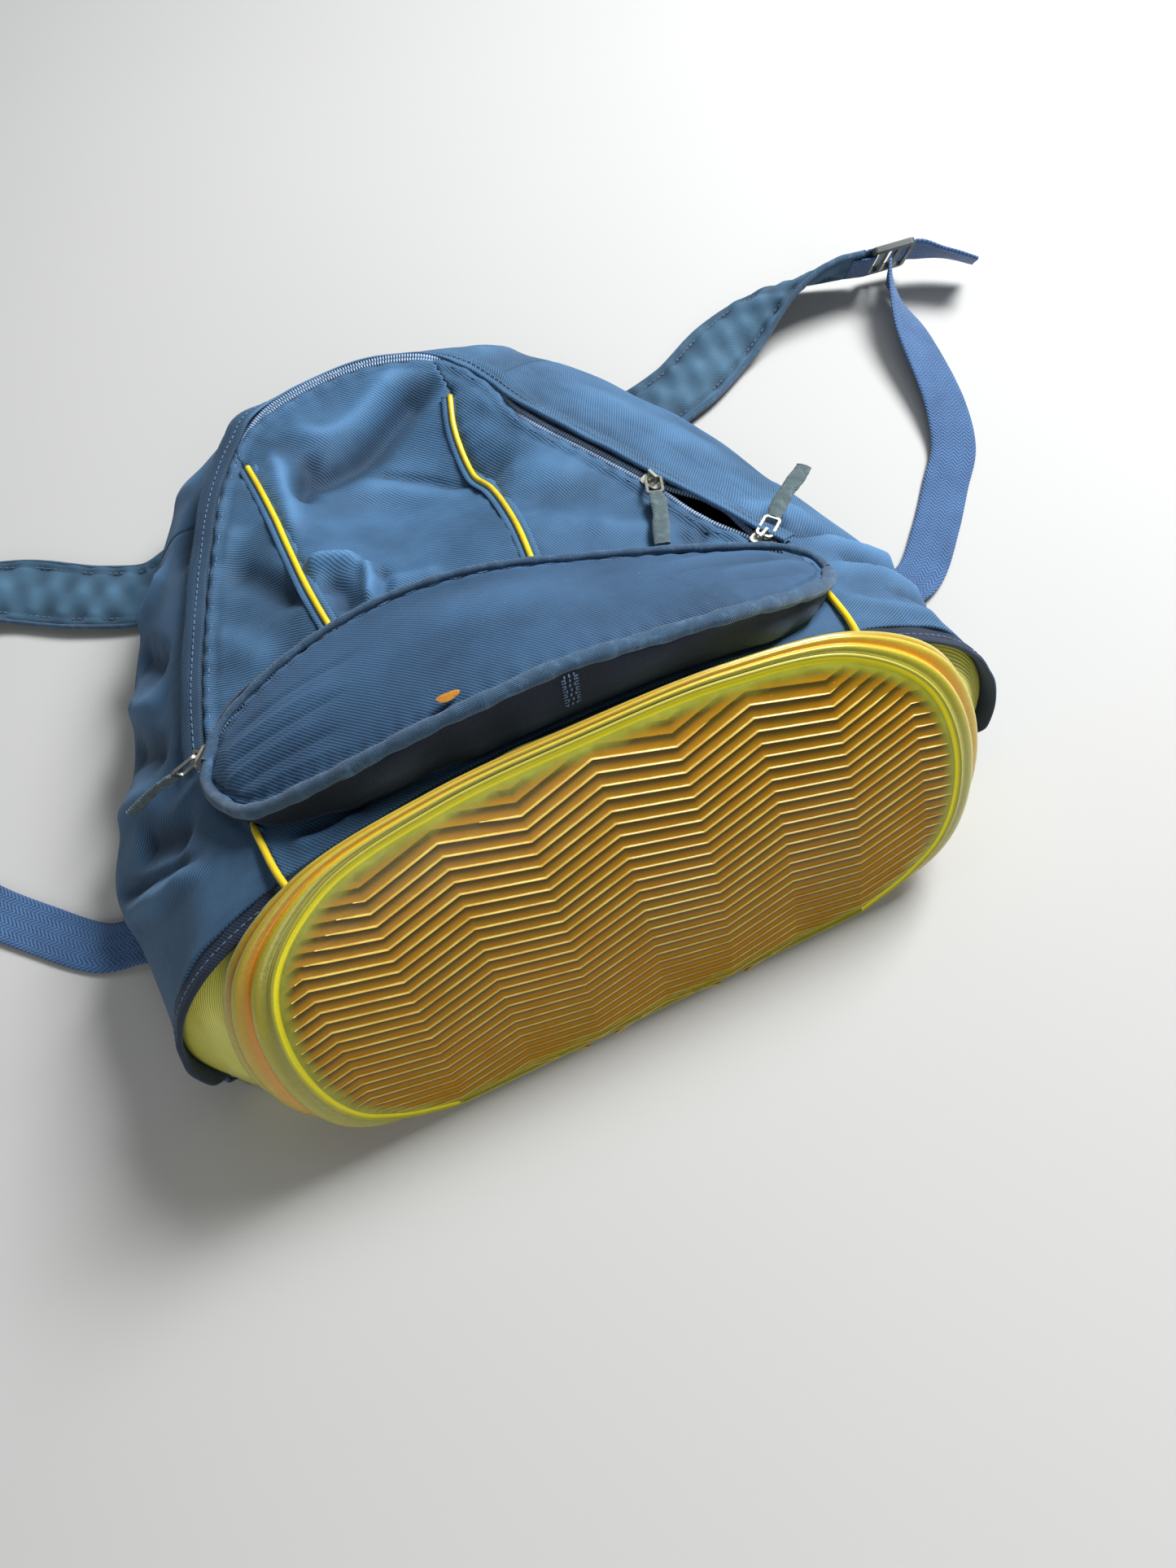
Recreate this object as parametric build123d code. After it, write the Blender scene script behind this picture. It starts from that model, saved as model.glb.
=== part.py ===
from build123d import *
import os
from math import asin, cos, degrees, hypot, pi, sin

os.makedirs("parts", exist_ok=True)

# A sports backpack with a moulded rubber base, lying on its back.
# X runs along the base, Y from the base to the top of the bag, Z up from the floor.
# Lengths along the bag are given from the toe, the base edge that rests on the floor;
# the origin is the centre of the back pad's resting face, REST_Y further up the bag.

# ---- driving dimensions, mm ----
REST_Y = 212.0           # toe line to the centre of the back pad
FABRIC = 3.0             # body cloth with its lining
SEAM = 2.1               # half the seam that each yellow piping fills
EDGE_GAP = 1.9           # cloth edges stop this far from the zip tape
PIPING_R = 1.6
BACK_Z = 12.0            # underside of the back panel: straps and pad fit below it
ZIP_Z = 85.0             # plane of the main zip
ZIP_HALF = 9.0           # half width of the main zip, tape edge to tape edge
# Outline of the sides, as shares of their reach and of their height over the back panel.
SIDE_SHAPE = [(0, 1), (0.5, 0.68), (0.82, 0.41), (1, 0.11), (0.97, 0)]

RIM_HALF_W = 165.0       # rubber base, half width of its rim
RIM_HALF_H = 78.0
RIM_TOE_Y = 10.0         # foot of the rim's chord, from the toe line
RIM_TOP = (78.0, 141.0)  # Y, Z of the rim's upper edge
TREAD_SAG = 15.0         # how far the tread bulges out of the rim's plane
RUBBER = 3.5
TREAD_T = 4.0
RIB_PITCH = 5.47
KINK_PITCH = 32.6        # the ribs turn at each of these columns
RIB_RISE = 4.4
RIB_W = 1.5
RIB_H = 1.0

HEM_Y = 58.0             # hem plane: Y = HEM_Y + HEM_LEAN * Z
HEM_LEAN = 0.22
HEM_DEPTH = 8.0

STRAP_W = 43.0
PAD_T = 8.0
WEB_W = 25.0
WEB_T = 1.8
RIBBON_W = 8.0           # pull ribbons
RIBBON_T = 1.6
SLIT_HALF = 5.5          # the main zip gapes this far each side where it is open

# main zip
COIL_GAP = 1.6           # between the two closed coils
COIL_W = 2.6             # each coil
COIL_T = 2.6
TAPE_T = 1.0
FLAP_EDGE = 6.5          # how far the covering flap stands back from the middle

# sliders and pulls
SLIDER_L = 11.0
SLIDER_W = 9.0
PLATE_T = 1.2
PLATE_GAP = COIL_T / 2 + 0.5     # from the coil's middle to a plate
BAIL_H = 4.6             # arch that holds the pull
LINK_L = 13.0
LINK_W = 8.6
LINK_WIRE = 1.3
RIBBON_L = 36.0
PIVOT_Z = PLATE_GAP + PLATE_T + BAIL_H / 2 - 0.5

# pocket and its zip
POCKET_RUN = (Vector(-142, 157), Vector(-121, 181))   # straight stretch of the pocket's zip
POCKET_SLIDER_AT = 7.0
POCKET_CROWN = 5.0
POCKET_PIPING_R = 3.2
POCKET_INSET = 0.97      # the walls and the face stop short of the piping's ends
WALL_GAP = 1.5
POCKET_ZIP_Z = 96.5
POCKET_TAPE_EDGE = 5.0   # half height of the pocket's zip
POCKET_WALL_TO_ZIP = 3.4

# base
BASE_MID = (32.0, 0.34)  # plane between the ribbed rim and the cloth band: Y and lean

# buckles
BUCKLE_L = 27.0
BUCKLE_W = 33.0
BUCKLE_T = 4.0
BAR = 2.6                # each bar's length along the strap
SLOT_W = 27.0
LOOP_T = 1.4             # webbing round the first bar

# haul loop
HAUL_X = -20.0
HAUL_HALF = 22.0
HAUL_Y = 442.0           # hinge line of the loop
HAUL_Z = 5.0
HAUL_REACH = 17.0


def at(x, y, z):
    """A point given by its distance y from the toe line."""
    return Vector(x, y - REST_Y, z)


# ---- helpers ----
def save(name, shape):
    export_step(shape, f"parts/{name}.step")


def strip_face(points, inside, thickness=FABRIC):
    """Planar strip between an outer polyline and the same line set in towards inside."""
    chord = points[-1] - points[0]
    far = max(points[1:-1] or [inside], key=lambda p: (p - points[0]).cross(chord).length)
    if (far - points[0]).cross(chord).length < 1e-3 * chord.length:
        far = inside
    normal = (far - points[0]).cross(chord).normalized()
    middle = len(points) // 2
    across = normal.cross(points[middle] - points[middle - 1])
    if across.dot(inside - points[middle]) < 0:
        normal = -normal
    inner = []
    for k, point in enumerate(points):
        before = point - points[k - 1] if k else points[1] - point
        after = points[k + 1] - point if k + 1 < len(points) else before
        side = normal.cross(before.normalized())
        mitre = (side + normal.cross(after.normalized())).normalized()
        inner.append(point + mitre * (thickness / mitre.dot(side)))
    return Face(Wire.make_polygon(points + inner[::-1], close=True))


def panel(sections, inside, thickness=FABRIC):
    """Cloth panel through planar sections, each an outer polyline."""
    faces = []
    for points in sections:
        faces.append(strip_face(points, inside(points), thickness))
    return loft(faces, ruled=True)


def tube(points, radius):
    """Round piping along straight runs with rounded corners."""
    radii = []
    for before, point, after in zip(points, points[1:], points[2:]):
        run = min((point - before).length, (after - point).length)
        turn = (point - before).get_angle(after - point) * pi / 180
        radii.append(0.45 * run / max(sin(turn / 2) / cos(turn / 2), 0.02))
    path = FilletPolyline(*points, radius=radii)
    start = Plane(origin=path @ 0, z_dir=path % 0)
    return sweep(start * Circle(radius), path=path)


def ribbon(stations, thickness):
    """Flat strap through (centre, width direction, width) stations."""
    faces = []
    for k, (centre, across, width) in enumerate(stations):
        before = stations[max(k - 1, 0)][0]
        after = stations[min(k + 1, len(stations) - 1)][0]
        across = across.normalized()
        ahead = after - before
        ahead = ahead - across * ahead.dot(across)
        section = Plane(origin=centre, x_dir=across, z_dir=ahead) * Rectangle(width, thickness)
        faces.append(section.face())
    return loft(faces, ruled=True)


def between(a, b, t):
    return a + (b - a) * t


def interpolate(table, value):
    """Linear interpolation in rows of (key, value)."""
    for (k0, v0), (k1, v1) in zip(table, table[1:]):
        if k0 <= value <= k1:
            return v0 + (v1 - v0) * (value - k0) / (k1 - k0)
    return table[0][1] if value < table[0][0] else table[-1][1]


# ---- the main zip's path, from its left lower end over the top to its right lower end ----
ZIP_PATH = [
    (-141, 168), (-134, 200), (-125, 230), (-109, 276), (-88, 325), (-62, 359), (-30, 371),
    (10, 371), (42, 355), (57, 327), (64, 296), (84.4, 254.3), (106, 210), (133.4, 154),
]
# widest points of the sides and the top, near the floor, one beside each point of the zip
BULGE = [
    (-209, 162), (-199, 197), (-186, 228), (-172, 280), (-146, 338), (-112, 388), (-50, 421),
    (14, 427), (76, 418), (123, 380), (149, 337), (171, 293), (190, 226), (206, 158),
]
TOP_LEFT = 4             # the top gusset runs between these two stations
TOP_RIGHT = 9
RUN_START = Vector(64, 296)
RUN_END = Vector(133.4, 154)
RUN = (RUN_END - RUN_START).normalized()
UPPER_SLIDER = 74.0      # rest places of the two sliders, back from the run's end
LOWER_SLIDER = 10.0


def zip_normal(k):
    """Direction out of the bag, across the zip at station k."""
    here = Vector(*ZIP_PATH[k])
    before = (here - Vector(*ZIP_PATH[k - 1])).normalized() if k else None
    after = (Vector(*ZIP_PATH[k + 1]) - here).normalized() if k + 1 < len(ZIP_PATH) else before
    before = before or after
    ahead = (before + after).normalized()
    out = Vector(-ahead.Y, ahead.X)
    return out * (1 / ahead.dot(after))


def zip_offset(k, offset):
    place = Vector(*ZIP_PATH[k]) + zip_normal(k) * offset
    return place.X, place.Y


def inner_edge_x(y, left):
    """Where the front panels meet the zip tape on one side."""
    stations = range(0, TOP_LEFT + 3) if left else range(len(ZIP_PATH) - 1, TOP_RIGHT - 3, -1)
    rows = []
    for k in stations:
        x, row_y = zip_offset(k, -ZIP_HALF - EDGE_GAP)
        rows.append((row_y, x))
    return interpolate(sorted(rows), y)


# ---- front of the bag: heights of the cloth ----
LEFT_PIPING = [(184, -66), (219, -70), (262, -71), (282, -71), (310, -72), (334, -75.5)]
RIGHT_PIPING = [(184, 25), (219, 29.5), (262, 32), (282, 29), (310, 31), (334, 38)]
LOWER_ROWS = [           # Y, then heights at the seam, at 66, at the middle
    (100, (112, 118, 121)), (120, (105, 108, 109)), (150, (93, 98, 99)), (166, (88, 97, 98)),
    (184, (86, 97, 97)),
]
CENTRE_ROWS = [          # Y, then heights at the left piping, between, at the right piping
    (184.5, (98, 97, 98)), (219, (101, 95, 96)), (262, (94, 79, 79)), (282, (92, 72, 72)),
    (310, (89, 75, 78)), (334, (86, 79, 84)), (348, (86, 82, 86)), (359, (86, 84, 86)),
]
LOWER_HALF_W = 66.0
SEAM_LEFT = [(83, -120), (100, -121), (168, -130), (184, -126)]
SEAM_RIGHT = [(83, 120), (100, 121), (150, 121), (160, 119), (184, 106)]
HEM_HEIGHTS = (115, 128, 132)


def front_height(x, y):
    """Height of the lower front panel, for what stands on it."""
    rows = [(86, HEM_HEIGHTS)] + LOWER_ROWS
    heights = interpolate([(row, Vector(*zs)) for row, zs in rows], y)
    return interpolate([(0, heights.Z), (LOWER_HALF_W, heights.Y), (130, heights.X)], abs(x))


def hem_point(x, z):
    return at(x, HEM_Y + HEM_LEAN * z, z)


def below(points):
    return points[len(points) // 2] - Vector(0, 0, 60)


def make_front():
    edge, side, middle = HEM_HEIGHTS
    hem = [hem_point(x, z) for x, z in
           [(-120, edge), (-LOWER_HALF_W, side), (0, middle), (LOWER_HALF_W, side), (120, edge)]]
    rows = [hem]
    for y, (edge, side, middle) in LOWER_ROWS:
        rows.append([at(interpolate(SEAM_LEFT, y), y, edge), at(-LOWER_HALF_W, y, side),
                     at(0, y, middle), at(LOWER_HALF_W, y, side),
                     at(interpolate(SEAM_RIGHT, y), y, edge)])
    save("front_panel_lower", panel(rows, below))

    rows = []
    for y, (left_z, middle_z, right_z) in CENTRE_ROWS:
        left = interpolate(LEFT_PIPING, y) + SEAM
        right = interpolate(RIGHT_PIPING, y) - SEAM
        left = max(left, inner_edge_x(y, True)) if y > 330 else left
        right = min(right, inner_edge_x(y, False)) if y > 330 else right
        middle = (left + right) / 2
        rows.append([at(left, y, left_z), at(middle, y, middle_z), at(right, y, right_z)])
    save("front_panel_centre", panel(rows, below))

    sides = [("front_panel_left", LEFT_PIPING, -1, [184.5, 219, 262, 282, 310, 318], 0),
             ("front_panel_right", RIGHT_PIPING, 1, [184.5, 219, 262, 282, 310, 324], 2)]
    for name, piping, sign, ys, column in sides:
        rows = []
        for y in ys:
            near = interpolate(piping, y) + sign * SEAM
            far = inner_edge_x(y, sign < 0)
            near_z = interpolate([(row, zs[column]) for row, zs in CENTRE_ROWS], y)
            middle = at((near + far) / 2, y, (near_z + ZIP_Z) / 2 + 0.5)
            rows.append([at(near, y, near_z), middle, at(far, y, ZIP_Z + 1)])
        save(name, panel(rows, below))


def make_upper_piping():
    for name, route, column in [("piping_upper_left", LEFT_PIPING, 0),
                                ("piping_upper_right", RIGHT_PIPING, 2)]:
        points = []
        for y in [186, 219, 262, 282, 310, 325]:
            z = interpolate([(row, zs[column]) for row, zs in CENTRE_ROWS], y)
            points.append(at(interpolate(route, y), y, z - PIPING_R / 2))
        save(name, tube(points, PIPING_R))


def make_lower_piping():
    """Short lengths over the seam between the pocket's ends and the hem."""
    for name, sign in [("piping_lower_left", -1), ("piping_lower_right", 1)]:
        points = [at(sign * 122.9, 86.5, 115.8), at(sign * 123.0, 92, 114.8),
                  at(sign * 123.3, 98, 113.4)]
        save(name, tube(points, PIPING_R))


# ---- sides and top ----
def side_outline(px, py, pz, mx, my):
    """Outline of a side from the zip out to its widest point and down to the back panel."""
    rise = pz - BACK_Z
    return [at(px + (mx - px) * reach, py + (my - py) * reach, BACK_Z + rise * height)
            for reach, height in SIDE_SHAPE]


def gusset_station(k):
    px, py = zip_offset(k, ZIP_HALF + EDGE_GAP)
    return side_outline(px, py, ZIP_Z + 1, *BULGE[k])


def low_side_stations(sign):
    """The two stations between the hem and the zip's lower end."""
    hem = [(124, 115), (170, 92), (190, 62), (196, 38), (188, BACK_Z)]
    beyond = [(125.5, 109), (163, 92), (187, 62), (199, 36), (193, BACK_Z)]
    return [[hem_point(sign * x, z) for x, z in hem],
            [at(sign * x, 111, z) for x, z in beyond]]


def bag_inside(points):
    middle = points[1]
    return Vector(middle.X * 0.5, middle.Y * 0.5, 40)


def make_gussets():
    last = len(ZIP_PATH) - 1
    left = low_side_stations(-1) + [gusset_station(k) for k in range(TOP_LEFT + 1)]
    top = [gusset_station(k) for k in range(TOP_LEFT, TOP_RIGHT + 1)]
    right = low_side_stations(1) + [gusset_station(k) for k in range(last, TOP_RIGHT - 1, -1)]
    save("side_gusset_left", panel(left, bag_inside))
    save("top_gusset", panel(top, bag_inside))
    save("side_gusset_right", panel(right, bag_inside))


def make_back():
    corners = []
    for k in range(len(ZIP_PATH)):
        foot = gusset_station(k)[-1]
        corners.append(Vector(foot.X, foot.Y))
    right_hem = low_side_stations(1)[0][-1]
    left_hem = low_side_stations(-1)[0][-1]
    corners.append(Vector(right_hem.X, right_hem.Y))
    corners.append(Vector(left_hem.X, left_hem.Y))
    face = Face(Wire.make_polygon(corners, close=True))
    save("back_panel", Pos(0, 0, BACK_Z - FABRIC) * extrude(face, FABRIC, dir=(0, 0, 1)))

    pad = RectangleRounded(170, 230, 22)
    body = extrude(pad, BACK_Z - FABRIC)
    save("back_pad", fillet(body.edges().group_by(Axis.Z)[0], 2.5))


# ---- main zip ----
def flat_strip(stations, low, high, z, height):
    """Strip along the zip; low and high give its two edges at each station."""
    edge_a = [at(*zip_offset_at(s, low(s)), z) for s in stations]
    edge_b = [at(*zip_offset_at(s, high(s)), z) for s in stations]
    face = Face(Wire.make_polygon(edge_a + edge_b[::-1], close=True))
    return extrude(face, height, dir=(0, 0, 1))


# places along the straight run, back from its end, where the slit opens and closes
SLIT = [68, 60, 48, 36, 26, 18]


def zip_offset_at(station, offset):
    """A station is an index into the path, or minus a distance back from the run's end."""
    if station >= 0:
        return zip_offset(station, offset)
    place = RUN_END + RUN * station + Vector(-RUN.Y, RUN.X) * offset
    return place.X, place.Y


def open_by(station):
    """How far each half of the zip stands back from the middle."""
    shut = COIL_GAP / 2
    if station >= 0:
        return shut
    return interpolate([(18, shut), (26, 3.6), (36, SLIT_HALF), (48, SLIT_HALF), (60, 3.6), (68, shut)],
                       -station)


def make_main_zip():
    last = len(ZIP_PATH) - 1
    stations = list(range(last - 1)) + [-s for s in SLIT] + [last]
    low_z = ZIP_Z - COIL_T / 2
    for name, sign in [("outer", 1), ("inner", -1)]:
        def near(s, sign=sign):
            return sign * open_by(s)

        def middle(s, sign=sign):
            return sign * (open_by(s) + COIL_W)

        def far(s, sign=sign):
            return sign * ZIP_HALF

        save(f"main_zip_coil_{name}", flat_strip(stations, near, middle, low_z, COIL_T))
        save(f"main_zip_tape_{name}", flat_strip(stations, middle, far, ZIP_Z - TAPE_T / 2, TAPE_T))
    flap = flat_strip(list(range(last + 1)), lambda s: FLAP_EDGE, lambda s: ZIP_HALF + 6,
                      ZIP_Z + 1.5, 1.4)
    save("zip_flap", flap)
    stops = []
    for s in [0, last]:
        for sign in [1, -1]:
            x, y = zip_offset(s, sign * (COIL_GAP / 2 + COIL_W / 2))
            inward = 2.0 if s == 0 else -2.0
            along = RUN if s else (Vector(*ZIP_PATH[1]) - Vector(*ZIP_PATH[0])).normalized()
            x, y = x + along.X * inward, y + along.Y * inward
            turn = Location((0, 0, 0), (0, 0, degrees(asin(along.Y))))
            block = Box(3.0, COIL_W, 0.8)
            stops.append(Location(at(x, y, ZIP_Z + COIL_T / 2 + 0.4)) * turn * block)
    save("main_zip_stops", Compound(children=stops))


# ---- sliders and pulls ----


def slider_body(bail_turn=0):
    """Slider in its own frame: X along the zip, Z up, origin in the middle of the coil."""
    plate = extrude(RectangleRounded(SLIDER_L, SLIDER_W, 2.6), PLATE_T)
    upper = Pos(0, 0, PLATE_GAP) * plate
    lower = Pos(0, 0, -PLATE_GAP - PLATE_T) * plate
    post = Box(3.0, COIL_GAP - 0.6, 2 * PLATE_GAP + 0.4)
    top = PLATE_GAP + PLATE_T
    bail = Pos(0, 0, top + BAIL_H / 2 - 0.1) * Box(6.0, 1.4, BAIL_H)
    window = Pos(0, 0, top + BAIL_H / 2 - 0.5) * Box(4.0, 3.0, BAIL_H - 1.8)
    return upper + lower + post + Rot(0, 0, bail_turn) * (bail - window)


def pull_link():
    """Wire eye in the pull's frame: X towards the ribbon, origin on the hinge."""
    outer = extrude(RectangleRounded(LINK_L, LINK_W, 2.2), LINK_WIRE)
    inner = extrude(RectangleRounded(LINK_L - 2 * LINK_WIRE, LINK_W - 2 * LINK_WIRE, 1.0), LINK_WIRE)
    return Pos(LINK_L / 2 - LINK_WIRE / 2, 0, -LINK_WIRE / 2) * (outer - inner)


def pull_ribbon(length):
    start = LINK_L - LINK_WIRE / 2
    return Pos(start + length / 2, 0, 0) * Box(length, RIBBON_W, RIBBON_T)


def pull_frame(pivot, tip, up=Vector(0, 0, 1)):
    """Frame of a pull that hangs from a slider whose face looks along up."""
    along = (tip - pivot).normalized()
    across = up.cross(along).normalized()
    return Plane(origin=pivot, x_dir=along, z_dir=along.cross(across))


def run_place(back, z):
    place = RUN_END - RUN * back
    return at(place.X, place.Y, z)


SLIDERS = {
    "main_slider_upper": (run_place(UPPER_SLIDER, ZIP_Z), RUN, at(83, 172, 97), -15),
    "main_slider_lower": (run_place(LOWER_SLIDER, ZIP_Z), RUN, at(166, 192, 89), 90),
}


def make_main_sliders():
    for name, (place, along, tip, bail_turn) in SLIDERS.items():
        frame = Plane(origin=place, x_dir=along, z_dir=(0, 0, 1))
        save(name, frame * slider_body(bail_turn))
        pull = pull_frame(place + Vector(0, 0, PIVOT_Z), tip)
        short = name.replace("main_slider", "main_pull")
        save(f"{short}_link", pull * pull_link())
        save(f"{short}_ribbon", pull * pull_ribbon(RIBBON_L))


# ---- pocket ----
POCKET = [               # X, lower edge Y and Z, upper edge Y and Z
    (-141, 146, 99, 155, 98), (-127, 119, 115, 171, 101), (-92, 105, 135, 183, 110),
    (-58, 98, 150, 186, 117), (-26, 94, 158, 182, 123), (3, 93, 160, 175, 125),
    (39, 92, 155, 164, 122), (72, 91, 150, 154, 118), (105, 97, 134, 144, 112),
    (124, 106, 121, 137, 108), (133, 118, 110, 127, 107),
]


def make_pocket():
    face_rows, lower_rows, upper_rows = [], [], []
    for end_x, low_y, low_z, up_y, up_z in POCKET:
        x = end_x * POCKET_INSET
        low = at(x, low_y + 3, low_z)
        up = at(x, up_y - 1, up_z)
        mid = between(low, up, 0.45) + Vector(0, 0, min(POCKET_CROWN, (up_y - low_y) / 8))
        face_rows.append([low, mid, up])
        foot_y = max(low_y - 5, 89)
        foot = at(x, foot_y, front_height(x, foot_y) + WALL_GAP)
        edge = at(x, low_y + 0.6, low_z - 5)
        lower_rows.append([edge, between(edge, foot, 0.5) - Vector(0, 1.5, 0), foot])
        top = up - Vector(0, 0, 4)
        base_y = min(up_y + 2, 183)
        base = at(x, base_y, front_height(x, base_y) + WALL_GAP)
        upper_rows.append([top, between(top, base, 0.5) + Vector(0, 0.8, 0), base])

    def down(points):
        return points[1] - Vector(0, 0, 40)

    def towards_back(points):
        return points[1] + Vector(0, 40, 0)

    def towards_toe(points):
        return points[1] - Vector(0, 40, 0)

    save("pocket_face", panel(face_rows, down, 2.5))
    save("pocket_gusset_lower", panel(lower_rows, towards_back, 2.0))
    save("pocket_gusset_upper", panel(upper_rows, towards_toe, 2.0))


def make_pocket_trim():
    loop = [at(x, low_y - 2.2, low_z + 0.5) for x, low_y, low_z, up_y, up_z in POCKET]
    back = [at(x, up_y + 0.6, up_z + 2.6) for x, low_y, low_z, up_y, up_z in POCKET[:0:-1]]
    save("pocket_piping_lower", tube(loop, POCKET_PIPING_R))
    save("pocket_piping_upper", tube(back, POCKET_PIPING_R * 0.6))
    x, low_y, low_z, up_y, up_z = POCKET[5]
    tab = Plane(origin=at(x, low_y - 6.4, low_z - 14), x_dir=(1, 0, 0), z_dir=(0, -1, 0.1))
    save("pocket_bartack", tab * extrude(RectangleRounded(9, 17, 1.5), 1.2))


def pocket_zip_route():
    """Places along the middle of the pocket's zip, each with the direction off its wall."""
    start, end = POCKET_RUN
    along = (end - start).normalized()
    out = Vector(-along.Y, along.X, 0)
    route = [(at(start.X, start.Y, POCKET_ZIP_Z), out), (at(end.X, end.Y, POCKET_ZIP_Z), out)]
    for x, low_y, low_z, up_y, up_z in POCKET[2:-1]:
        base_y = min(up_y + 2, 183)
        middle = (front_height(x, base_y) + WALL_GAP + up_z) / 2
        place = at(x * POCKET_INSET, base_y + POCKET_WALL_TO_ZIP, middle)
        route.append((place, Vector(0, 1, 0)))
    return route


def pocket_strip(low, high, thickness):
    rows = []
    for place, out in pocket_zip_route():
        face = place + out * (thickness / 2)
        rows.append([face + Vector(0, 0, low), face + Vector(0, 0, high)])
    outs = [out for place, out in pocket_zip_route()]
    faces = [strip_face(row, row[0] - out * 20, thickness) for row, out in zip(rows, outs)]
    return loft(faces, ruled=True)


def make_pocket_zip():
    shut = COIL_GAP / 2
    tapes, coils = [], []
    for sign in [-1, 1]:
        edges = [sign * e for e in (shut, shut + COIL_W, POCKET_TAPE_EDGE)]
        coils.append(pocket_strip(*sorted(edges[:2]), COIL_T))
        tapes.append(pocket_strip(*sorted(edges[1:]), TAPE_T))
    save("pocket_zip_coils", Compound(children=coils))
    save("pocket_zip_tapes", Compound(children=tapes))


def make_pocket_slider():
    start, end = POCKET_RUN
    along = (end - start).normalized()
    out = Vector(-along.Y, along.X, 0)
    place = start + along * POCKET_SLIDER_AT
    frame = Plane(origin=at(place.X, place.Y, POCKET_ZIP_Z), x_dir=Vector(along.X, along.Y, 0), z_dir=out)
    save("pocket_slider", frame * slider_body(-28))
    pull = pull_frame(frame.origin + out * PIVOT_Z, at(-180, 161, 84), out)
    save("pocket_pull_link", pull * pull_link())
    save("pocket_pull_ribbon", pull * pull_ribbon(26))


def make_zip_ends():
    """Cloth that closes the seam past each end of the main zip."""
    left = [[at(-147.4, 168, 85), at(-131.6, 164.4, 86.8)], [at(-125.6, 115, 106), at(-123.9, 115, 105.6)]]
    right = [[at(122.6, 147.6, 91), at(139.6, 156.0, 86)], [at(122, 115, 106), at(125.0, 115, 105.6)]]
    save("zip_end_left", panel(left, below, FABRIC - 0.6))
    save("zip_end_right", panel(right, below, FABRIC - 0.6))


# ---- rubber base ----
RIM_POINTS = [(100, -78), (150, -52), (165, -8), (156, 35), (120, 64), (62, 76)]
HEM_POINTS = [(183, 10), (193, 42), (185, 70), (164, 93), (120, 114), (62, 126)]
HEM_TOP = 130


def ring_face(points, top, plane):
    """Face inside a D-shaped outline: a straight foot and a curve over the top."""
    right = [(x, y) for x, y in points]
    left = [(-x, y) for x, y in points]
    curve = right + [(0, top)] + left[::-1]
    outline = Wire([Spline(*curve), Line(curve[-1], curve[0])])
    return plane * Face(outline)


def rim_plane(shift=0.0):
    rise = Vector(0, RIM_TOP[0] - RIM_TOE_Y, RIM_TOP[1])
    out = Vector(0, -rise.Z, rise.Y).normalized()
    middle = at(0, (RIM_TOP[0] + RIM_TOE_Y) / 2, RIM_TOP[1] / 2)
    return Plane(origin=middle + out * shift, x_dir=(1, 0, 0), z_dir=out)


def hem_plane(shift=0.0):
    out = Vector(0, -1, HEM_LEAN).normalized()
    return Plane(origin=at(0, HEM_Y, 0) + out * shift, x_dir=(1, 0, 0), z_dir=out)


def rim_face(inset=0.0, shift=0.0):
    points = [(x - inset * x / RIM_HALF_W, y - inset * y / RIM_HALF_H) for x, y in RIM_POINTS]
    return ring_face(points, RIM_HALF_H - inset, rim_plane(shift))


def hem_face(inset=0.0, shift=0.0):
    middle = (HEM_TOP + HEM_POINTS[0][1]) / 2
    scale = 1 - inset / (HEM_TOP - middle)
    upright = hypot(1, HEM_LEAN)
    points = [(x * (1 - inset / HEM_POINTS[1][0]), (middle + (z - middle) * scale) * upright)
              for x, z in HEM_POINTS]
    return ring_face(points, (middle + (HEM_TOP - middle) * scale) * upright, hem_plane(shift))


def tread_drum(radius):
    """Drum whose surface is the tread's face when radius is the full tread radius."""
    full = (RIM_HALF_H ** 2 + TREAD_SAG ** 2) / (2 * TREAD_SAG)
    drum = Rot(0, 90, 0) * Cylinder(full + radius, 2.4 * RIM_HALF_W)
    return rim_plane() * (Pos(0, 0, TREAD_SAG - full) * drum)


def tread_layer(inset, outer, inner):
    """Curved layer of the tread, between two distances from its face."""
    prism = extrude(rim_face(inset, -8), 30, dir=rim_plane().z_dir)
    return (prism & tread_drum(outer)) - tread_drum(inner)


def make_tread_ribs():
    blank = tread_layer(13, RIB_H, 0.02)
    rows = int(RIM_HALF_H / RIB_PITCH)
    columns = int(RIM_HALF_W / KINK_PITCH) + 1
    ribs = []
    for row in range(-rows, rows + 1):
        line = []
        for column in range(-columns, columns + 1):
            rise = RIB_RISE if column % 2 == 0 else -RIB_RISE
            line.append((column * KINK_PITCH, row * RIB_PITCH + rise))
        edge = [(x, y + RIB_W) for x, y in line[::-1]]
        face = rim_plane(-2) * Face(Wire.make_polygon([Vector(*p) for p in line + edge], close=True))
        rib = extrude(face, 24, dir=rim_plane().z_dir) & blank
        if rib:
            ribs.extend(rib.solids())
    save("tread_ribs", Compound(children=ribs))


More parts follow.
